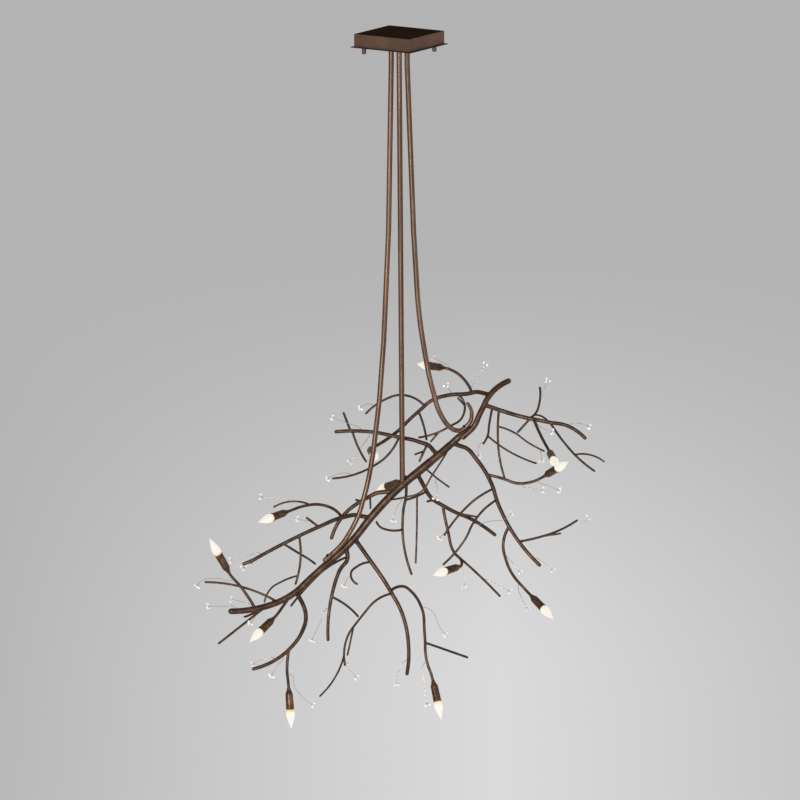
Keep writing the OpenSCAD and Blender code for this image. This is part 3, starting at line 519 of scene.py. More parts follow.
@dataclass(frozen=True)
class Finishes:
    """Every finish on the chandelier."""

    branch: Finish = BronzePaint("bronze_branch", Slot.BRONZE)
    rod: Finish = BronzePaint(
        "copper_brown_rod",
        Slot.COPPER_BROWN,
        dark=srgb(90, 65, 50),
        rubbed=srgb(130, 100, 81),
        patch=14.0,
        streak=(4, 4, 0.12),
        roughness=0.38,
        metallic=0.68,
        dent=0.0002,
    )
    canopy: Finish = BronzePaint(
        "canopy_paint",
        Slot.BRONZE,
        dark=srgb(94, 68, 52),
        rubbed=srgb(112, 82, 64),
        patch=9.0,
        roughness=0.42,
        metallic=0.4,
        dent=0.0001,
        speck=0.12,
    )
    canopy_top: Finish = BronzePaint(
        "canopy_top_matt",
        Slot.BRONZE,
        dark=srgb(94, 74, 56),
        rubbed=srgb(106, 84, 64),
        patch=9.0,
        roughness=0.8,
        metallic=0.0,
        dent=0.0001,
        speck=0.05,
        shine=0.0,
    )
    # near-black: the stem bolts' own black, and on the canopy cover painted shade for the dark band along
    # the canopy's lower edge
    black_and_shade: Finish = BronzePaint(
        "black_paint_and_shade",
        Slot.BRONZE,
        dark=srgb(20, 16, 13),
        rubbed=srgb(42, 33, 26),
        patch=30.0,
        roughness=0.5,
        metallic=0.3,
        dent=0.0002,
    )
    cup: Finish = BronzePaint(
        "bronze_cup",
        Slot.BRONZE,
        dark=srgb(70, 48, 34),
        rubbed=srgb(112, 82, 60),
        patch=60.0,
        roughness=0.36,
        metallic=0.6,
        dent=0.0003,
    )
    steel: Finish = PlainMetal("zinc_steel", Slot.STEEL)
    green: Finish = MouldedPlastic("green_screw", Slot.GREEN, srgb(40, 120, 70), 0.4)
    ivory: Finish = MouldedPlastic("lead_ivory", Slot.LEAD_JACKET, srgb(226, 220, 204), 0.5)
    orange: Finish = MouldedPlastic("orange_cap", Slot.ORANGE_PLASTIC, srgb(232, 128, 34), 0.45)
    socket: Finish = MouldedPlastic("socket_body", Slot.SOCKET_PLASTIC, srgb(214, 206, 190), 0.5)
    wire: Finish = PlainMetal("copper_wire", Slot.COPPER_WIRE, srgb(236, 172, 132), 0.45, (1, 1, 1))
    brass: Finish = PlainMetal("brass_base", Slot.BRASS, srgb(196, 160, 92), 0.3)
    crystal: Finish = CutGlass("cut_glass", Slot.CLEAR_GLASS)
    bulb: Finish = GlowingGlass("lit_bulb", Slot.BULB_GLASS)


FINISHES = Finishes()


# ------------------------------------------------------------------- mesh tools


def keep(mesh: bpy.types.Mesh, name: str, body: str, finish: Finish, *stands_for: str) -> bpy.types.Object:
    """Make a finished piece of a mesh that is already in place.

    Args:
        mesh: the mesh, in the frame's metres.
        name: the piece's name.
        body: the body that carries it.
        finish: its finish.
        *stands_for: the CAD nodes that it replaces.

    Returns:
        The piece.
    """
    mesh.name = name
    mesh.materials.clear()
    mesh.materials.append(finish.material())
    mesh.polygons.foreach_set("material_index", [0] * len(mesh.polygons))
    piece = bpy.data.objects.new(name, mesh)
    bpy.context.scene.collection.objects.link(piece)
    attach(piece, body)
    if stands_for:
        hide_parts(*stands_for)
    log.info("piece %s on %s: %d faces", name, body, len(mesh.polygons))
    return piece


def merged(node: bpy.types.Object, apart: float = 1e-6) -> bpy.types.Mesh:
    """Copy a CAD node's mesh and merge its loose triangles.

    Args:
        node: the CAD node.
        apart: the distance under which two corners are one, in metres.

    Returns:
        The new mesh.
    """
    mesh = node.data.copy()
    mesh.materials.clear()
    work = bmesh.new()
    work.from_mesh(mesh)
    bmesh.ops.remove_doubles(work, verts=work.verts, dist=apart)
    work.to_mesh(mesh)
    work.free()
    if mesh.has_custom_normals:
        mesh.attributes.remove(mesh.attributes["custom_normal"])
    return mesh


def evaluated(mesh: bpy.types.Mesh, dress: Callable[[bpy.types.Object], None]) -> bpy.types.Mesh:
    """Give the mesh as its modifiers leave it.

    Args:
        mesh: the mesh to start from.
        dress: adds the modifiers to the object that it is given.

    Returns:
        A new mesh.
    """
    bench = bpy.data.objects.new("bench", mesh)
    bpy.context.scene.collection.objects.link(bench)
    dress(bench)
    bpy.context.view_layer.update()
    graph = bpy.context.evaluated_depsgraph_get()
    made = bpy.data.meshes.new_from_object(bench.evaluated_get(graph))
    bpy.data.objects.remove(bench)
    return made


def islands(mesh: bpy.types.Mesh) -> List[List[int]]:
    """Group the corners of a merged mesh by the solid that they belong to.

    Args:
        mesh: the merged mesh.

    Returns:
        The corners' numbers, one list for each solid.
    """
    root = list(range(len(mesh.vertices)))

    def top(i: int) -> int:
        """Follow a corner to its group's first.

        Args:
            i: the corner's number.

        Returns:
            The first one's number.
        """
        while root[i] != i:
            root[i] = root[root[i]]
            i = root[i]
        return i

    for edge in mesh.edges:
        root[top(edge.vertices[0])] = top(edge.vertices[1])
    groups: Dict[int, List[int]] = {}
    for i in range(len(root)):
        groups.setdefault(top(i), []).append(i)
    return list(groups.values())


def lathe(
    profile: Sequence[Tuple[float, float]], steps: int, foot: Vector, axis: Vector, length: float
) -> bpy.types.Mesh:
    """Turn a profile round an axis.

    Args:
        profile: (radius, height) in metres, from foot to tip; a radius of 0 closes the end.
        steps: corners in a ring.
        foot: where height 0 lies.
        axis: the unit axis, outwards.
        length: the height that the UV map's V counts as 1.

    Returns:
        The mesh, with a UV map named along whose V is the height.
    """
    mesh = bpy.data.meshes.new("lathe")
    work = bmesh.new()
    turn = Matrix.Translation(foot) @ axis.to_track_quat("Z", "Y").to_matrix().to_4x4()
    rings: List[List[bmesh.types.BMVert]] = []
    for radius, height in profile:
        if radius == 0:
            rings.append([work.verts.new(turn @ Vector((0, 0, height)))])
            continue
        ring = []
        for i in range(steps):
            angle = 2 * math.pi * i / steps
            point = Vector((radius * math.cos(angle), radius * math.sin(angle), height))
            ring.append(work.verts.new(turn @ point))
        rings.append(ring)
    for low, high in zip(rings, rings[1:]):
        for i in range(steps):
            j = (i + 1) % steps
            corners = [low[i % len(low)], low[j % len(low)], high[j % len(high)], high[i % len(high)]]
            work.faces.new(list(dict.fromkeys(corners)))
    bmesh.ops.recalc_face_normals(work, faces=work.faces)
    uv = work.loops.layers.uv.new("along")
    back = turn.inverted()
    for face in work.faces:
        face.smooth = True
        for loop in face.loops:
            local = back @ loop.vert.co
            loop[uv].uv = (math.atan2(local.y, local.x) / (2 * math.pi) + 0.5, local.z / length)
    work.to_mesh(mesh)
    work.free()
    return mesh


# --------------------------------------------------------------- geometry nodes


class Recipe:
    """A Geometry Nodes tree with named inputs, ended in Realize Instances and Set Material."""

    def __init__(self, name: str, **sizes: float) -> None:
        """Start the tree.

        Args:
            name: the tree's name.
            **sizes: its named inputs and their first values, with _ for each space.
        """
        self.tree = bpy.data.node_groups.new(name, "GeometryNodeTree")
        face = self.tree.interface
        face.new_socket("Geometry", in_out="INPUT", socket_type="NodeSocketGeometry")
        face.new_socket("Geometry", in_out="OUTPUT", socket_type="NodeSocketGeometry")
        self.keys: Dict[str, str] = {}
        self.sizes = sizes
        for key, value in sizes.items():
            whole = isinstance(value, int)
            kind = "NodeSocketInt" if whole else "NodeSocketFloat"
            made = face.new_socket(key.replace("_", " "), in_out="INPUT", socket_type=kind)
            made.default_value = value
            self.keys[key] = made.identifier
        self.entry = self.tree.nodes.new("NodeGroupInput")

    def size(self, key: str) -> bpy.types.NodeSocket:
        """Give a named input."""
        return self.entry.outputs[key.replace("_", " ")]

    def node(
        self,
        kind: str,
        settings: Optional[Mapping[str, Any]] = None,
        inputs: Optional[Mapping[Union[str, int], Any]] = None,
    ) -> bpy.types.Node:
        """Add a node.

        Args:
            kind: the node's type.
            settings: its properties.
            inputs: a value or an output socket for each of its sockets.

        Returns:
            The node.
        """
        made = self.tree.nodes.new(kind)
        for name, value in (settings or {}).items():
            setattr(made, name, value)
        for name, value in (inputs or {}).items():
            if isinstance(value, bpy.types.NodeSocket):
                self.tree.links.new(value, made.inputs[name])
            else:
                made.inputs[name].default_value = value
        return made

    def math(self, operation: str, first: Any, second: Any) -> bpy.types.NodeSocket:
        """Give the result of one Math node."""
        return self.node("ShaderNodeMath", {"operation": operation}, {0: first, 1: second}).outputs[0]

    def close(self, geometry: bpy.types.NodeSocket, finish: Finish, smooth: bool) -> None:
        """End the tree.

        Args:
            geometry: what the tree made.
            finish: the finish that it is set to.
            smooth: whether it is shaded smooth.
        """
        real = self.node("GeometryNodeRealizeInstances", None, {0: geometry}).outputs[0]
        shade = self.node("GeometryNodeSetShadeSmooth", None, {"Geometry": real, "Shade Smooth": smooth})
        dressed = self.node("GeometryNodeSetMaterial", None, {"Geometry": shade.outputs[0]})
        dressed.inputs["Material"].default_value = finish.material()
        self.node("NodeGroupOutput", None, {0: dressed.outputs[0]})

    def run(self, mesh: bpy.types.Mesh, **sizes: float) -> bpy.types.Mesh:
        """Run the tree on a mesh.

        Args:
            mesh: what the tree starts from.
            **sizes: values for its named inputs.

        Returns:
            The plain mesh that it makes.
        """

        def dress(bench: bpy.types.Object) -> None:
            """Add the modifier and set its inputs by their identifiers.

            Args:
                bench: the object that carries the mesh.
            """
            step = bench.modifiers.new(self.tree.name, "NODES")
            step.node_group = self.tree
            for key, value in {**self.sizes, **sizes}.items():
                step[self.keys[key]] = value

        return evaluated(mesh, dress)


def points_mesh(places: Iterable[Vector], **vectors: Sequence[Vector]) -> bpy.types.Mesh:
    """Make a mesh of loose points that carry vectors.

    Args:
        places: where the points are.
        **vectors: a vector for each point, under its attribute's name.

    Returns:
        The mesh.
    """
    mesh = bpy.data.meshes.new("points")
    mesh.from_pydata([tuple(place) for place in places], [], [])
    for name, values in vectors.items():
        layer = mesh.attributes.new(name, "FLOAT_VECTOR", "POINT")
        for item, value in zip(layer.data, values):
            item.vector = tuple(value)
    return mesh


# ----------------------------------------------------------------- sub-assemblies


@dataclass
class Branch:
    """The welded branch and its rods: smoothed copies of the CAD rods."""

    voxel: float = 0.0014
    trunk_share: float = 1.16
    passes: int = 4
    limbs: Tuple[str, ...] = (
        "trunk_lower",
        "trunk_upper",
        "limb_low_right",
        "limb_low_middle",
        "limb_low_left",
        "limb_left",
        "limb_left_inner",
        "limb_high_left",
        "limb_high_back",
        "limb_high_right",
        "limb_right",
        "limb_middle_right",
        "limb_centre",
    )
    rods: Tuple[str, ...] = ("stem_left", "stem_centre", "stem_right")

    def smoothed(self, node: bpy.types.Object, voxel: float) -> bpy.types.Mesh:
        """Remesh a copy of a node and smooth it, so that its arcs and roots run together.

        Args:
            node: the CAD node.
            voxel: the grid's cell, in metres.

        Returns:
            The smooth mesh.
        """

        def dress(bench: bpy.types.Object) -> None:
            """Add the remesh and the smoothing.

            Args:
                bench: the object that carries the mesh.
            """
            grid = bench.modifiers.new("grid", "REMESH")
            grid.mode = "VOXEL"
            grid.voxel_size = voxel
            grid.use_smooth_shade = True
            ease = bench.modifiers.new("ease", "CORRECTIVE_SMOOTH")
            ease.iterations = self.passes
            ease.factor = 0.5
            ease.smooth_type = "LENGTH_WEIGHTED"
            ease.use_only_smooth = True

        return evaluated(merged(node), dress)

    def build(self, nodes: Mapping[str, bpy.types.Object]) -> None:
        """Make every limb and rod.

        Args:
            nodes: the CAD nodes by name.
        """
        for names, finish, voxel in (
            (self.limbs, FINISHES.branch, self.voxel),
            (self.rods, FINISHES.rod, self.voxel * 1.5),
        ):
            for name in names:
                cell = voxel * (self.trunk_share if name == "trunk_lower" else 1.0)
                mesh = self.smoothed(nodes[name], cell)
                keep(mesh, name + "_smooth", FIXTURE, finish, name)


@dataclass(frozen=True)
class Sheet:
    """The layout sheet: squares, seen from the front and a little above."""

    square: float = 0.0039
    tilt: float = math.radians(10)
    ceiling_column: float = 399.2
    ceiling_row: float = 33.3

    def at(self, column: float, row: float, back: float) -> Vector:
        """Give the place of a spot on the sheet.

        Args:
            column: squares from the left.
            row: squares from the top.
            back: squares towards the back.

        Returns:
            The place, in the frame's metres.
        """
        depth = self.square * back
        drop = self.square * (row - self.ceiling_row) + depth * math.sin(self.tilt)
        return Vector((self.square * (column - self.ceiling_column), depth, -drop / math.cos(self.tilt)))


@dataclass(frozen=True)
class Tip:
    """A short straight rod that carries a CAD rod on, or leaves it as a small side twig."""

    name: str
    root: Tuple[float, float, float]
    end: Tuple[float, float, float]
    radius: float
    blunt: float = 0.0014
    sides: int = 28

    def build(self, sheet: Sheet) -> None:
        """Make the rod.

        Args:
            sheet: the sheet that its root and end are written on.
        """
        root = sheet.at(*self.root)
        way = sheet.at(*self.end) - root
        length = way.length
        slim = self.radius * 0.95
        outline = [
            (0.0, 0.0),
            (self.radius, 0.0),
            (slim, length - self.blunt),
            (slim - self.blunt * 0.35, length - self.blunt * 0.35),
            (slim - self.blunt, length),
            (0.0, length),
        ]
        mesh = lathe(outline, self.sides, root, way.normalized(), length)
        mesh.set_sharp_from_angle(angle=math.radians(60))
        keep(mesh, self.name, FIXTURE, FINISHES.branch)


TIPS: Tuple[Tip, ...] = (
    Tip("left_tip", (256.0, 558.9, -14.7), (242.5, 564.5, -16.0), 0.0069),
    Tip("high_back_side_twig", (464.3, 405.0, 23.4), (457.5, 397.5, 23.0), 0.0040),
)


@dataclass
class Welds:
    """The weld round the root of each limb: a ring of overlapping ripples."""

    swell: float = 0.0004
    width: float = 0.0046
    height: float = 0.0030
    pitch: float = 0.0021
    overlap: float = 1.9
    spread: float = 0.045
    ring_steps: int = 36
    hosts: Tuple[str, ...] = ("trunk_lower", "trunk_upper")
    limbs: Tuple[str, ...] = Branch.limbs[2:]

    def build(self, nodes: Mapping[str, bpy.types.Object]) -> None:
        """Find where each limb leaves its trunk, and lay the weld there.

        Args:
            nodes: the CAD nodes by name.
        """
        trunks = [self.tree(merged(nodes[name])) for name in self.hosts]
        rings = []
        for name in self.limbs:
            limb = merged(nodes[name])
            found = [self.crossings(limb, trunk) for trunk in trunks]
            ring = self.ordered(max(found, key=len))
            if len(ring) > 5:
                rings.append(ring)
            log.info("weld of %s: %d places", name, len(ring))
        mesh = self.recipe().run(self.loops(rings))
        keep(mesh, "root_welds", FIXTURE, FINISHES.branch)

    @staticmethod
    def tree(mesh: bpy.types.Mesh) -> BVHTree:
        """Give a mesh's search tree."""
        corners = [vertex.co for vertex in mesh.vertices]
        return BVHTree.FromPolygons(corners, [tuple(face.vertices) for face in mesh.polygons])

    def crossings(self, limb: bpy.types.Mesh, trunk: BVHTree) -> List[Vector]:
        """List where the limb's edges, moved out a little, pass the trunk's skin.

        Args:
            limb: the limb's merged mesh.
            trunk: the trunk's search tree.

        Returns:
            The places.
        """
        out = [vertex.co + vertex.normal * self.swell for vertex in limb.vertices]
        found = []
        for edge in limb.edges:
            start, end = (out[i] for i in edge.vertices)
            length = (end - start).length
            if length < 1e-5:
                continue
            hit = trunk.ray_cast(start, (end - start) / length, length)[0]
            if hit is not None:
                found.append(hit)
        return found

    def ordered(self, places: Sequence[Vector]) -> List[Vector]:
        """Keep the places of one ring and put them in order round it.

        Args:
            places: loose places on the ring.

        Returns:
            The ring's places in order.
        """
        if len(places) < 6:
            return []
        rows = np.array([tuple(place) for place in places])
        middle = np.median(rows, axis=0)
        rows = rows[np.linalg.norm(rows - middle, axis=1) < self.spread]
        middle = rows.mean(axis=0)
        flat = np.linalg.svd(rows - middle)[2]
        angles = np.arctan2((rows - middle) @ flat[1], (rows - middle) @ flat[0])
        ring = []
        for i in range(self.ring_steps):
            low = -math.pi + 2 * math.pi * i / self.ring_steps
            inside = rows[(angles >= low) & (angles < low + 2 * math.pi / self.ring_steps)]
            if len(inside):
                ring.append(Vector(inside.mean(axis=0)))
        return ring

    @staticmethod
    def loops(rings: Sequence[Sequence[Vector]]) -> bpy.types.Mesh:
        """Make a mesh of closed loops of edges.

        Args:
            rings: the places of each loop, in order.

        Returns:
            The mesh.
        """
        mesh = bpy.data.meshes.new("rings")
        places: List[Tuple[float, ...]] = []
        edges: List[Tuple[int, int]] = []
        for ring in rings:
            first = len(places)
            places += [tuple(place) for place in ring]
            edges += [(first + i, first + (i + 1) % len(ring)) for i in range(len(ring))]
        mesh.from_pydata(places, edges, [])
        return mesh

    def recipe(self) -> Recipe:
        """Give the tree that lays ripples along each loop."""
        made = Recipe("weld_ripples", Ripple_Width=self.width, Ripple_Height=self.height, Pitch=self.pitch)
        path = made.node("GeometryNodeMeshToCurve", None, {"Mesh": made.entry.outputs[0]})
        steps = made.node("GeometryNodeResampleCurve", {"mode": "LENGTH"}, {"Curve": path.outputs[0]})
        made.tree.links.new(made.size("Pitch"), steps.inputs["Length"])
        along = made.node("GeometryNodeInputTangent")
        aim = made.node("FunctionNodeAlignRotationToVector", {"axis": "X"}, {"Vector": along.outputs[0]})
        ball = made.node("GeometryNodeMeshUVSphere", None, {"Segments": 10, "Rings": 6, "Radius": 0.5})
        length = made.math("MULTIPLY", made.size("Pitch"), self.overlap)
        scale = made.node(
            "ShaderNodeCombineXYZ",
            None,
            {0: length, 1: made.size("Ripple_Width"), 2: made.size("Ripple_Height")},
        )
        placed = made.node(
            "GeometryNodeInstanceOnPoints",
            None,
            {
                "Points": steps.outputs[0],
                "Instance": ball.outputs[0],
                "Rotation": aim.outputs[0],
                "Scale": scale.outputs[0],
            },
        )
        made.close(placed.outputs[0], FINISHES.branch, True)
        return made


def paint(node: bpy.types.Object, finish: Finish) -> None:
    """Give a CAD node its finish.

    Args:
        node: the CAD node.
        finish: the finish for all of it.
    """
    if not node.material_slots:
        node.data.materials.append(None)
    for slot in node.material_slots:
        slot.material = finish.material()


@dataclass
class Canopy:
    """The square canopy: its box, its lower plate with thumb screws, and what it hides."""

    edge: float = 0.0006
    knob_radius: float = 0.008
    knob_height: float = 0.020
    knob_lift: float = 0.003
    ribs: int = 28
    rib: float = 0.0009

    def build(self, nodes: Mapping[str, bpy.types.Object]) -> None:
        """Bevel the sheet metal, knurl the thumb screws and finish the rest.

        Args:
            nodes: the CAD nodes by name.
        """
        for name, body, finish in (
            ("canopy_box", FIXTURE, FINISHES.canopy),
            # the cover's near-black is painted shade along the canopy's lower edge
            ("canopy_cover", COVER, FINISHES.black_and_shade),
            ("thumb_screw_left", "thumb_left", FINISHES.canopy),
            ("thumb_screw_right", "thumb_right", FINISHES.canopy),
        ):
            piece = keep(self.bevelled(nodes[name]), name + "_edged", body, finish, name)
            if name == "canopy_box":
                self.matt_top(piece)
        for side in ("left", "right"):
            low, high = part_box("thumb_screw_" + side)
            self.knurled((low + high) / 2, low.z, "thumb_" + side)
        for name, finish in (
            ("carrier_bar", FINISHES.steel),
            ("stem_nuts", FINISHES.steel),
            ("stud_nuts", FINISHES.steel),
            ("stem_bolts", FINISHES.black_and_shade),
            ("ground_screw", FINISHES.green),
            ("ground_lead", FINISHES.green),
            ("fixture_leads", FINISHES.ivory),
            ("wire_connectors", FINISHES.orange),
        ):
            paint(nodes[name], finish)

    @staticmethod
    def matt_top(piece: bpy.types.Object) -> None:
        """Leave the canopy's upper face, which lies on the ceiling, in matt paint.

        Args:
            piece: the canopy box.
        """
        piece.data.materials.append(FINISHES.canopy_top.material())
        for face in piece.data.polygons:
            if face.normal.z > 0.9:
                face.material_index = 1

    def knurled(self, middle: Vector, foot: float, body: str) -> None:
        """Set ribs round a thumb screw's knob.

        Args:
            middle: the middle of the screw's box.
            foot: the height of the knob's lower face.
            body: the body that the screw is.
        """
        made = Recipe("knurl", Knob_Radius=self.knob_radius, Rib_Length=self.knob_height, Ribs=self.ribs)
        ring = made.node(
            "GeometryNodeMeshCircle",
            None,
            {"Vertices": made.size("Ribs"), "Radius": made.size("Knob_Radius")},
        )
        size = made.node(
            "ShaderNodeCombineXYZ", None, {0: self.rib, 1: self.rib, 2: made.size("Rib_Length")}
        )
        rib = made.node("GeometryNodeMeshCube", None, {"Size": size.outputs[0]})
        out = made.node("GeometryNodeInputPosition")
        aim = made.node("FunctionNodeAlignRotationToVector", {"axis": "X"}, {"Vector": out.outputs[0]})
        placed = made.node(
            "GeometryNodeInstanceOnPoints",
            None,
            {"Points": ring.outputs[0], "Instance": rib.outputs[0], "Rotation": aim.outputs[0]},
        )
        made.close(placed.outputs[0], FINISHES.canopy, False)
        mesh = made.run(points_mesh([]))
        place = Vector((middle.x, middle.y, foot + self.knob_lift + self.knob_height / 2))
        mesh.transform(Matrix.Translation(place))
        keep(mesh, "knurl_" + body, body, FINISHES.canopy)

    def bevelled(self, node: bpy.types.Object) -> bpy.types.Mesh:
        """Copy a node and round its sharp edges.

        Args:
            node: the CAD node.

        Returns:
            The mesh.
        """

        def dress(bench: bpy.types.Object) -> None:
            """Add the bevel.

            Args:
                bench: the object that carries the mesh.
            """
            step = bench.modifiers.new("edge", "BEVEL")
            step.width = self.edge
            step.segments = 2
            step.limit_method = "ANGLE"
            step.angle_limit = math.radians(40)
            step.use_clamp_overlap = True
            even = bench.modifiers.new("even", "WEIGHTED_NORMAL")
            even.mode = "FACE_AREA"
            even.weight = 100

        mesh = merged(node)
        for face in mesh.polygons:
            face.use_smooth = True
        return evaluated(mesh, dress)


@dataclass
class Lamps:
    """The twelve candle lamps: cup, socket, and the bulb that unscrews."""

    count: int = 12
    glass_length: float = 0.082
    glass_radius: float = 0.016
    flare: float = 0.0046
    shoulder: float = 0.62
    taper: float = 0.12
    least_radius: float = 0.0012
    rings: int = 26
    steps: int = 40
    half_glass: float = 0.041

    def build(self, frame: Mapping[str, Any]) -> None:
        """Make the bulbs and finish the cups and sockets.
        """
        nodes = frame["nodes"]
        paint(nodes["socket_cups"], FINISHES.cup)
        paint(nodes["lamp_sockets"], FINISHES.socket)
        hinges = {joint["child"]: joint for joint in frame["joints"]}
        for i in range(1, self.count + 1):
            body = f"bulb_{i:02d}"
            hinge = hinges[body]
            axis = Vector(hinge["axis"]).normalized()
            low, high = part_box(f"bulb_glass_{i:02d}")
            foot = self.foot(Vector(hinge["pos_m"]), axis, (low + high) / 2)
            mesh = lathe(self.profile(), self.steps, foot, axis, self.glass_length)
            keep(mesh, f"bulb_glow_{i:02d}", body, FINISHES.bulb, f"bulb_glass_{i:02d}")
            paint(nodes[f"bulb_base_{i:02d}"], FINISHES.brass)

    def foot(self, place: Vector, axis: Vector, middle: Vector) -> Vector:
        """Give the point on the bulb's axis where its glass starts.

        Args:
            place: a point on the axis.
            axis: the unit axis.
            middle: the middle of the glass's box.

        Returns:
            The foot of the glass.
        """
        return place + axis * ((middle - place).dot(axis) - self.half_glass)

    def radius(self, t: float) -> float:
        """Give the flame shape's radius at a share of its height."""
        flare = self.flare * (1 - t) ** 3
        flame = math.sin(math.pi * t**self.shoulder) * (1 - self.taper * t)
        return self.glass_radius * flame + flare

    def profile(self) -> List[Tuple[float, float]]:
        """Give the bulb's outline from its foot to its tip."""
        rows = [(0.0, 0.0)]
        for j in range(self.rings):
            t = (j + 0.25) / self.rings
            rows.append((max(self.radius(t), self.least_radius), t * self.glass_length))
        rows.append((0.0, self.glass_length))
        return rows


@dataclass
class Sprays:
    """The glass bead sprays: cut beads set on copper wires."""

    bead: float = 0.011
    prong: float = 0.013
    full_turn: float = 6.28
    seed: int = 4

    def build(self, nodes: Mapping[str, bpy.types.Object]) -> None:
        """Cut every bead and finish the wires.

        Args:
            nodes: the CAD nodes by name.
        """
        wires = merged(nodes["crystal_wires"])
        beads = merged(nodes["crystal_beads"])
        centres = self.centres(beads)
        axes = self.axes(centres, wires)
        mesh = self.recipe().run(points_mesh(centres, axis=axes))
        keep(mesh, "crystal_cut", FIXTURE, FINISHES.crystal, "crystal_beads")
        paint(nodes["crystal_wires"], FINISHES.wire)

    @staticmethod
    def centres(beads: bpy.types.Mesh) -> List[Vector]:
        """Give the middle of each bead's box.

        Args:
            beads: the beads' merged mesh.

        Returns:
            The middles.
        """
        found = []
        for group in islands(beads):
            corners = [beads.vertices[i].co for i in group]
            low = Vector([min(c[k] for c in corners) for k in range(3)])
            high = Vector([max(c[k] for c in corners) for k in range(3)])
            found.append((low + high) / 2)
        return found

    def axes(self, centres: Sequence[Vector], wires: bpy.types.Mesh) -> List[Vector]:
        """Find the way that each bead's hole points, from the wire end that its cluster shares.

        Args:
            centres: the beads' middles.
            wires: the wires' merged mesh.

        Returns:
            A unit vector for each bead.
        """
        tree = KDTree(len(centres))
        for i, centre in enumerate(centres):
            tree.insert(centre, i)
        tree.balance()
        metal = KDTree(len(wires.vertices))
        for i, vertex in enumerate(wires.vertices):
            metal.insert(vertex.co, i)
        metal.balance()
        found = []
        for centre in centres:
            three = [Vector(hit[0]) for hit in tree.find_n(centre, 3)]
            middle = sum(three, Vector()) / 3
            normal = (three[1] - three[0]).cross(three[2] - three[0])
            reach = sum((p - middle).length for p in three) / 3
            rise = math.sqrt(max(self.prong**2 - reach**2, 1e-8))
            ends = [middle + normal.normalized() * rise * sign for sign in (1, -1)]
            end = min(ends, key=lambda p: metal.find(p)[2])
            found.append((centre - end).normalized())
        return found

    def recipe(self) -> Recipe:
        """Give the tree that sets a cut bead at each point, turned on its wire at random."""
        made = Recipe("cut_beads", Bead_Diameter=self.bead, Facets=9, Rings=6, Seed=self.seed)
        half = made.math("MULTIPLY", made.size("Bead_Diameter"), 0.5)
        ball = made.node(
            "GeometryNodeMeshUVSphere",
            None,
            {"Segments": made.size("Facets"), "Rings": made.size("Rings"), "Radius": half},
        )
        axis = made.node("GeometryNodeInputNamedAttribute", {"data_type": "FLOAT_VECTOR"}, {"Name": "axis"})
        aim = made.node("FunctionNodeAlignRotationToVector", {"axis": "Z"}, {"Vector": axis.outputs[0]})
        spin = made.node("FunctionNodeRandomValue", {"data_type": "FLOAT"})
        spin.inputs[3].default_value = self.full_turn
        made.tree.links.new(made.size("Seed"), spin.inputs["Seed"])
        round_axis = made.node("ShaderNodeCombineXYZ", None, {2: spin.outputs[1]})
        turned = made.node(
            "FunctionNodeRotateRotation",
            {"rotation_space": "LOCAL"},
            {0: aim.outputs[0], 1: round_axis.outputs[0]},
        )
        placed = made.node(
            "GeometryNodeInstanceOnPoints",
            None,
            {"Points": made.entry.outputs[0], "Instance": ball.outputs[0], "Rotation": turned.outputs[0]},
        )
        made.close(placed.outputs[0], FINISHES.crystal, False)
        return made


# ------------------------------------------------------------------------ stage


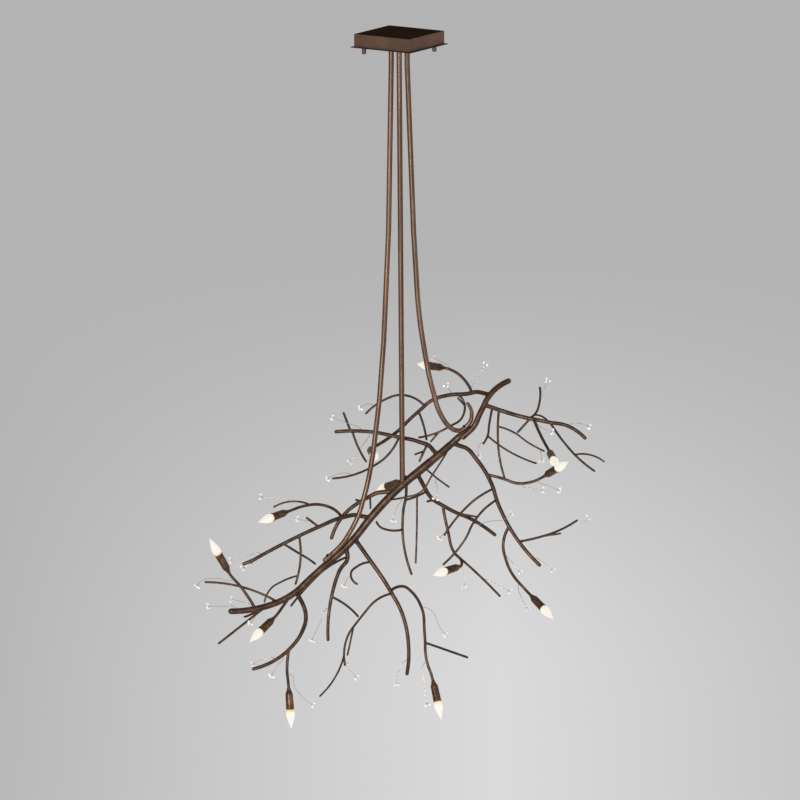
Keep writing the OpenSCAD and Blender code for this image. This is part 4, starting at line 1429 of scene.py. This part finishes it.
@dataclass
class Studio:
    """The camera, the pale floor and ground, and the soft light."""

    target: Tuple[float, float, float] = (0.00312, 0.0, -1.4522)
    distance: float = 100.0
    elevation: float = 10.0
    frame_width: float = 3.12
    sensor: float = 36.0
    floor_drop: float = 3.8
    floor_side: float = 240.0
    ground_far: Colour = srgb(182, 182, 182)
    ground_near: Colour = srgb(222, 222, 222)
    glow_across: float = 0.42
    glow_reach: float = 2.3
    glow_depths: Tuple[float, float] = (-18.0, -6.0)
    glow_strength: float = 1.12
    glow_share: float = 0.5
    glow_seen: float = 0.35
    sky_low: Colour = (0.50, 0.50, 0.50)
    sky_high: Colour = (0.06, 0.06, 0.06)
    sky_edge: float = 0.10

    def camera(self) -> bpy.types.Object:
        """Make the camera at the photograph's angle."""
        data = bpy.data.cameras.new("camera")
        data.sensor_width = self.sensor
        data.lens = self.sensor * self.distance / self.frame_width
        data.clip_start = 1.0
        data.clip_end = 600
        made = bpy.data.objects.new("camera", data)
        bpy.context.scene.collection.objects.link(made)
        tilt = math.radians(self.elevation)
        back = Vector((0, -math.cos(tilt), math.sin(tilt)))
        made.location = Vector(self.target) + back * self.distance
        made.rotation_euler = (-back).to_track_quat("-Z", "Y").to_euler()
        bpy.context.scene.camera = made
        return made

    def lamp(
        self, name: str, strength: float, angle: float, direction: Sequence[float], colour: Colour
    ) -> None:
        """Hang one broad, even lamp.

        Args:
            name: its name.
            strength: its strength.
            angle: how broad it looks, in degrees.
            direction: where it shines from.
            colour: its colour.
        """
        data = bpy.data.lights.new(name, "SUN")
        data.energy = strength
        data.angle = math.radians(angle)
        data.color = colour
        made = bpy.data.objects.new(name, data)
        bpy.context.scene.collection.objects.link(made)
        made.rotation_euler = Vector(direction).to_track_quat("Z", "Y").to_euler()

    def seen(self, graph: Graph) -> Term:
        """Tell the rays that show a background from those that light the object.

        Args:
            graph: the node tree that asks.

        Returns:
            1 for a ray that the eye, gloss or glass sends, and 0 for light.
        """
        path = [
            graph.node("ShaderNodeLightPath", None, None, name)
            for name in ("Is Camera Ray", "Is Glossy Ray", "Is Transmission Ray")
        ]
        return path[0] + path[1] + path[2]

    def world(self) -> None:
        """Light the object evenly, and show the pale ground behind it."""
        made = bpy.data.worlds.new("studio")
        made.use_nodes = True
        bpy.context.scene.world = made
        graph = Graph(made.node_tree)
        way = graph.node("ShaderNodeTexCoord", output="Generated")
        rise = graph.node("ShaderNodeSeparateXYZ", None, {0: way}, "Z")
        high = rise.ramp(-self.sky_edge, self.sky_edge)
        sky = graph.mix(high, self.sky_low, self.sky_high)
        light = graph.node("ShaderNodeBackground", None, {"Color": sky, "Strength": 1.0})
        shown = graph.node("ShaderNodeBackground", None, {"Color": self.ground_far, "Strength": 1.0})
        mixed = graph.node("ShaderNodeMixShader", None, {0: self.seen(graph), 1: light, 2: shown})
        graph.end(mixed, "ShaderNodeOutputWorld")

    def floor(self) -> None:
        """Lay the floor, with a pale pool of light on it, clear from below."""
        half = self.floor_side / 2
        mesh = bpy.data.meshes.new("floor")
        corners = [(-half, -half), (half, -half), (half, half), (-half, half)]
        mesh.from_pydata([(x, y, -self.floor_drop) for x, y in corners], [], [(0, 1, 2, 3)])
        made = bpy.data.objects.new("floor", mesh)
        bpy.context.scene.collection.objects.link(made)
        paint_floor = bpy.data.materials.new("pale_floor")
        paint_floor.use_nodes = True
        graph = Graph(paint_floor.node_tree)
        place = graph.node("ShaderNodeTexCoord", output="Object")
        split = graph.node("ShaderNodeSeparateXYZ", None, {0: place}, "Y")
        across = graph.node("ShaderNodeSeparateXYZ", None, {0: place}, "X")
        aside = across - self.glow_across
        pool = 1.0 - aside.unsigned() * (1 / self.glow_reach)
        level = (split * -1.0).ramp(*self.glow_depths) * pool.above(0.0)
        colour = graph.mix(level, self.ground_far, self.ground_near)
        matt = graph.node("ShaderNodeBsdfDiffuse", None, {"Color": colour})
        bright = graph.node(
            "ShaderNodeEmission", None, {"Color": colour, "Strength": self.glow_strength}
        )
        share = self.glow_share + self.seen(graph) * self.glow_seen
        shown = graph.node("ShaderNodeMixShader", None, {0: share, 1: matt, 2: bright})
        clear = graph.node("ShaderNodeBsdfTransparent")
        behind = graph.node("ShaderNodeNewGeometry", output="Backfacing")
        lit = graph.node("ShaderNodeLightPath", None, None, "Is Shadow Ray")
        through = behind.above(lit)
        graph.end(graph.node("ShaderNodeMixShader", None, {0: through, 1: shown, 2: clear}))
        mesh.materials.append(paint_floor)

    def lights(self) -> None:
        """Hang the soft lamps: two at the branch's own height, and two low ones that rise."""
        self.lamp("key", 2.1, 20, (-0.30, -1.0, 0.02), (1, 1, 1))
        self.lamp("side", 0.7, 40, (1.0, -0.7, 0.0), (1, 1, 1))
        self.lamp("rise", 0.8, 36, (0.30, -1.0, -0.95), (1, 1, 1))
        self.lamp("back", 0.7, 30, (-0.2, 1.0, -0.50), (1, 1, 1))


def corners(box: Tuple[Vector, Vector]) -> List[List[float]]:
    """Give a box as plain lists of numbers."""
    return [[round(value, 6) for value in corner] for corner in box]


def main() -> None:
    """Load the frame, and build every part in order."""
    logging.basicConfig(level=logging.INFO, format="%(name)s: %(message)s")
    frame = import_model()
    studio = Studio()
    studio.camera()
    studio.world()
    studio.floor()
    studio.lights()
    bpy.context.scene.view_settings.view_transform = "Standard"
    nodes = frame["nodes"]
    Canopy().build(nodes)
    Branch().build(nodes)
    Welds().build(nodes)
    for tip in TIPS:
        tip.build(Sheet())
    Lamps().build(frame)
    Sprays().build(nodes)


if __name__ == "__main__":
    main()
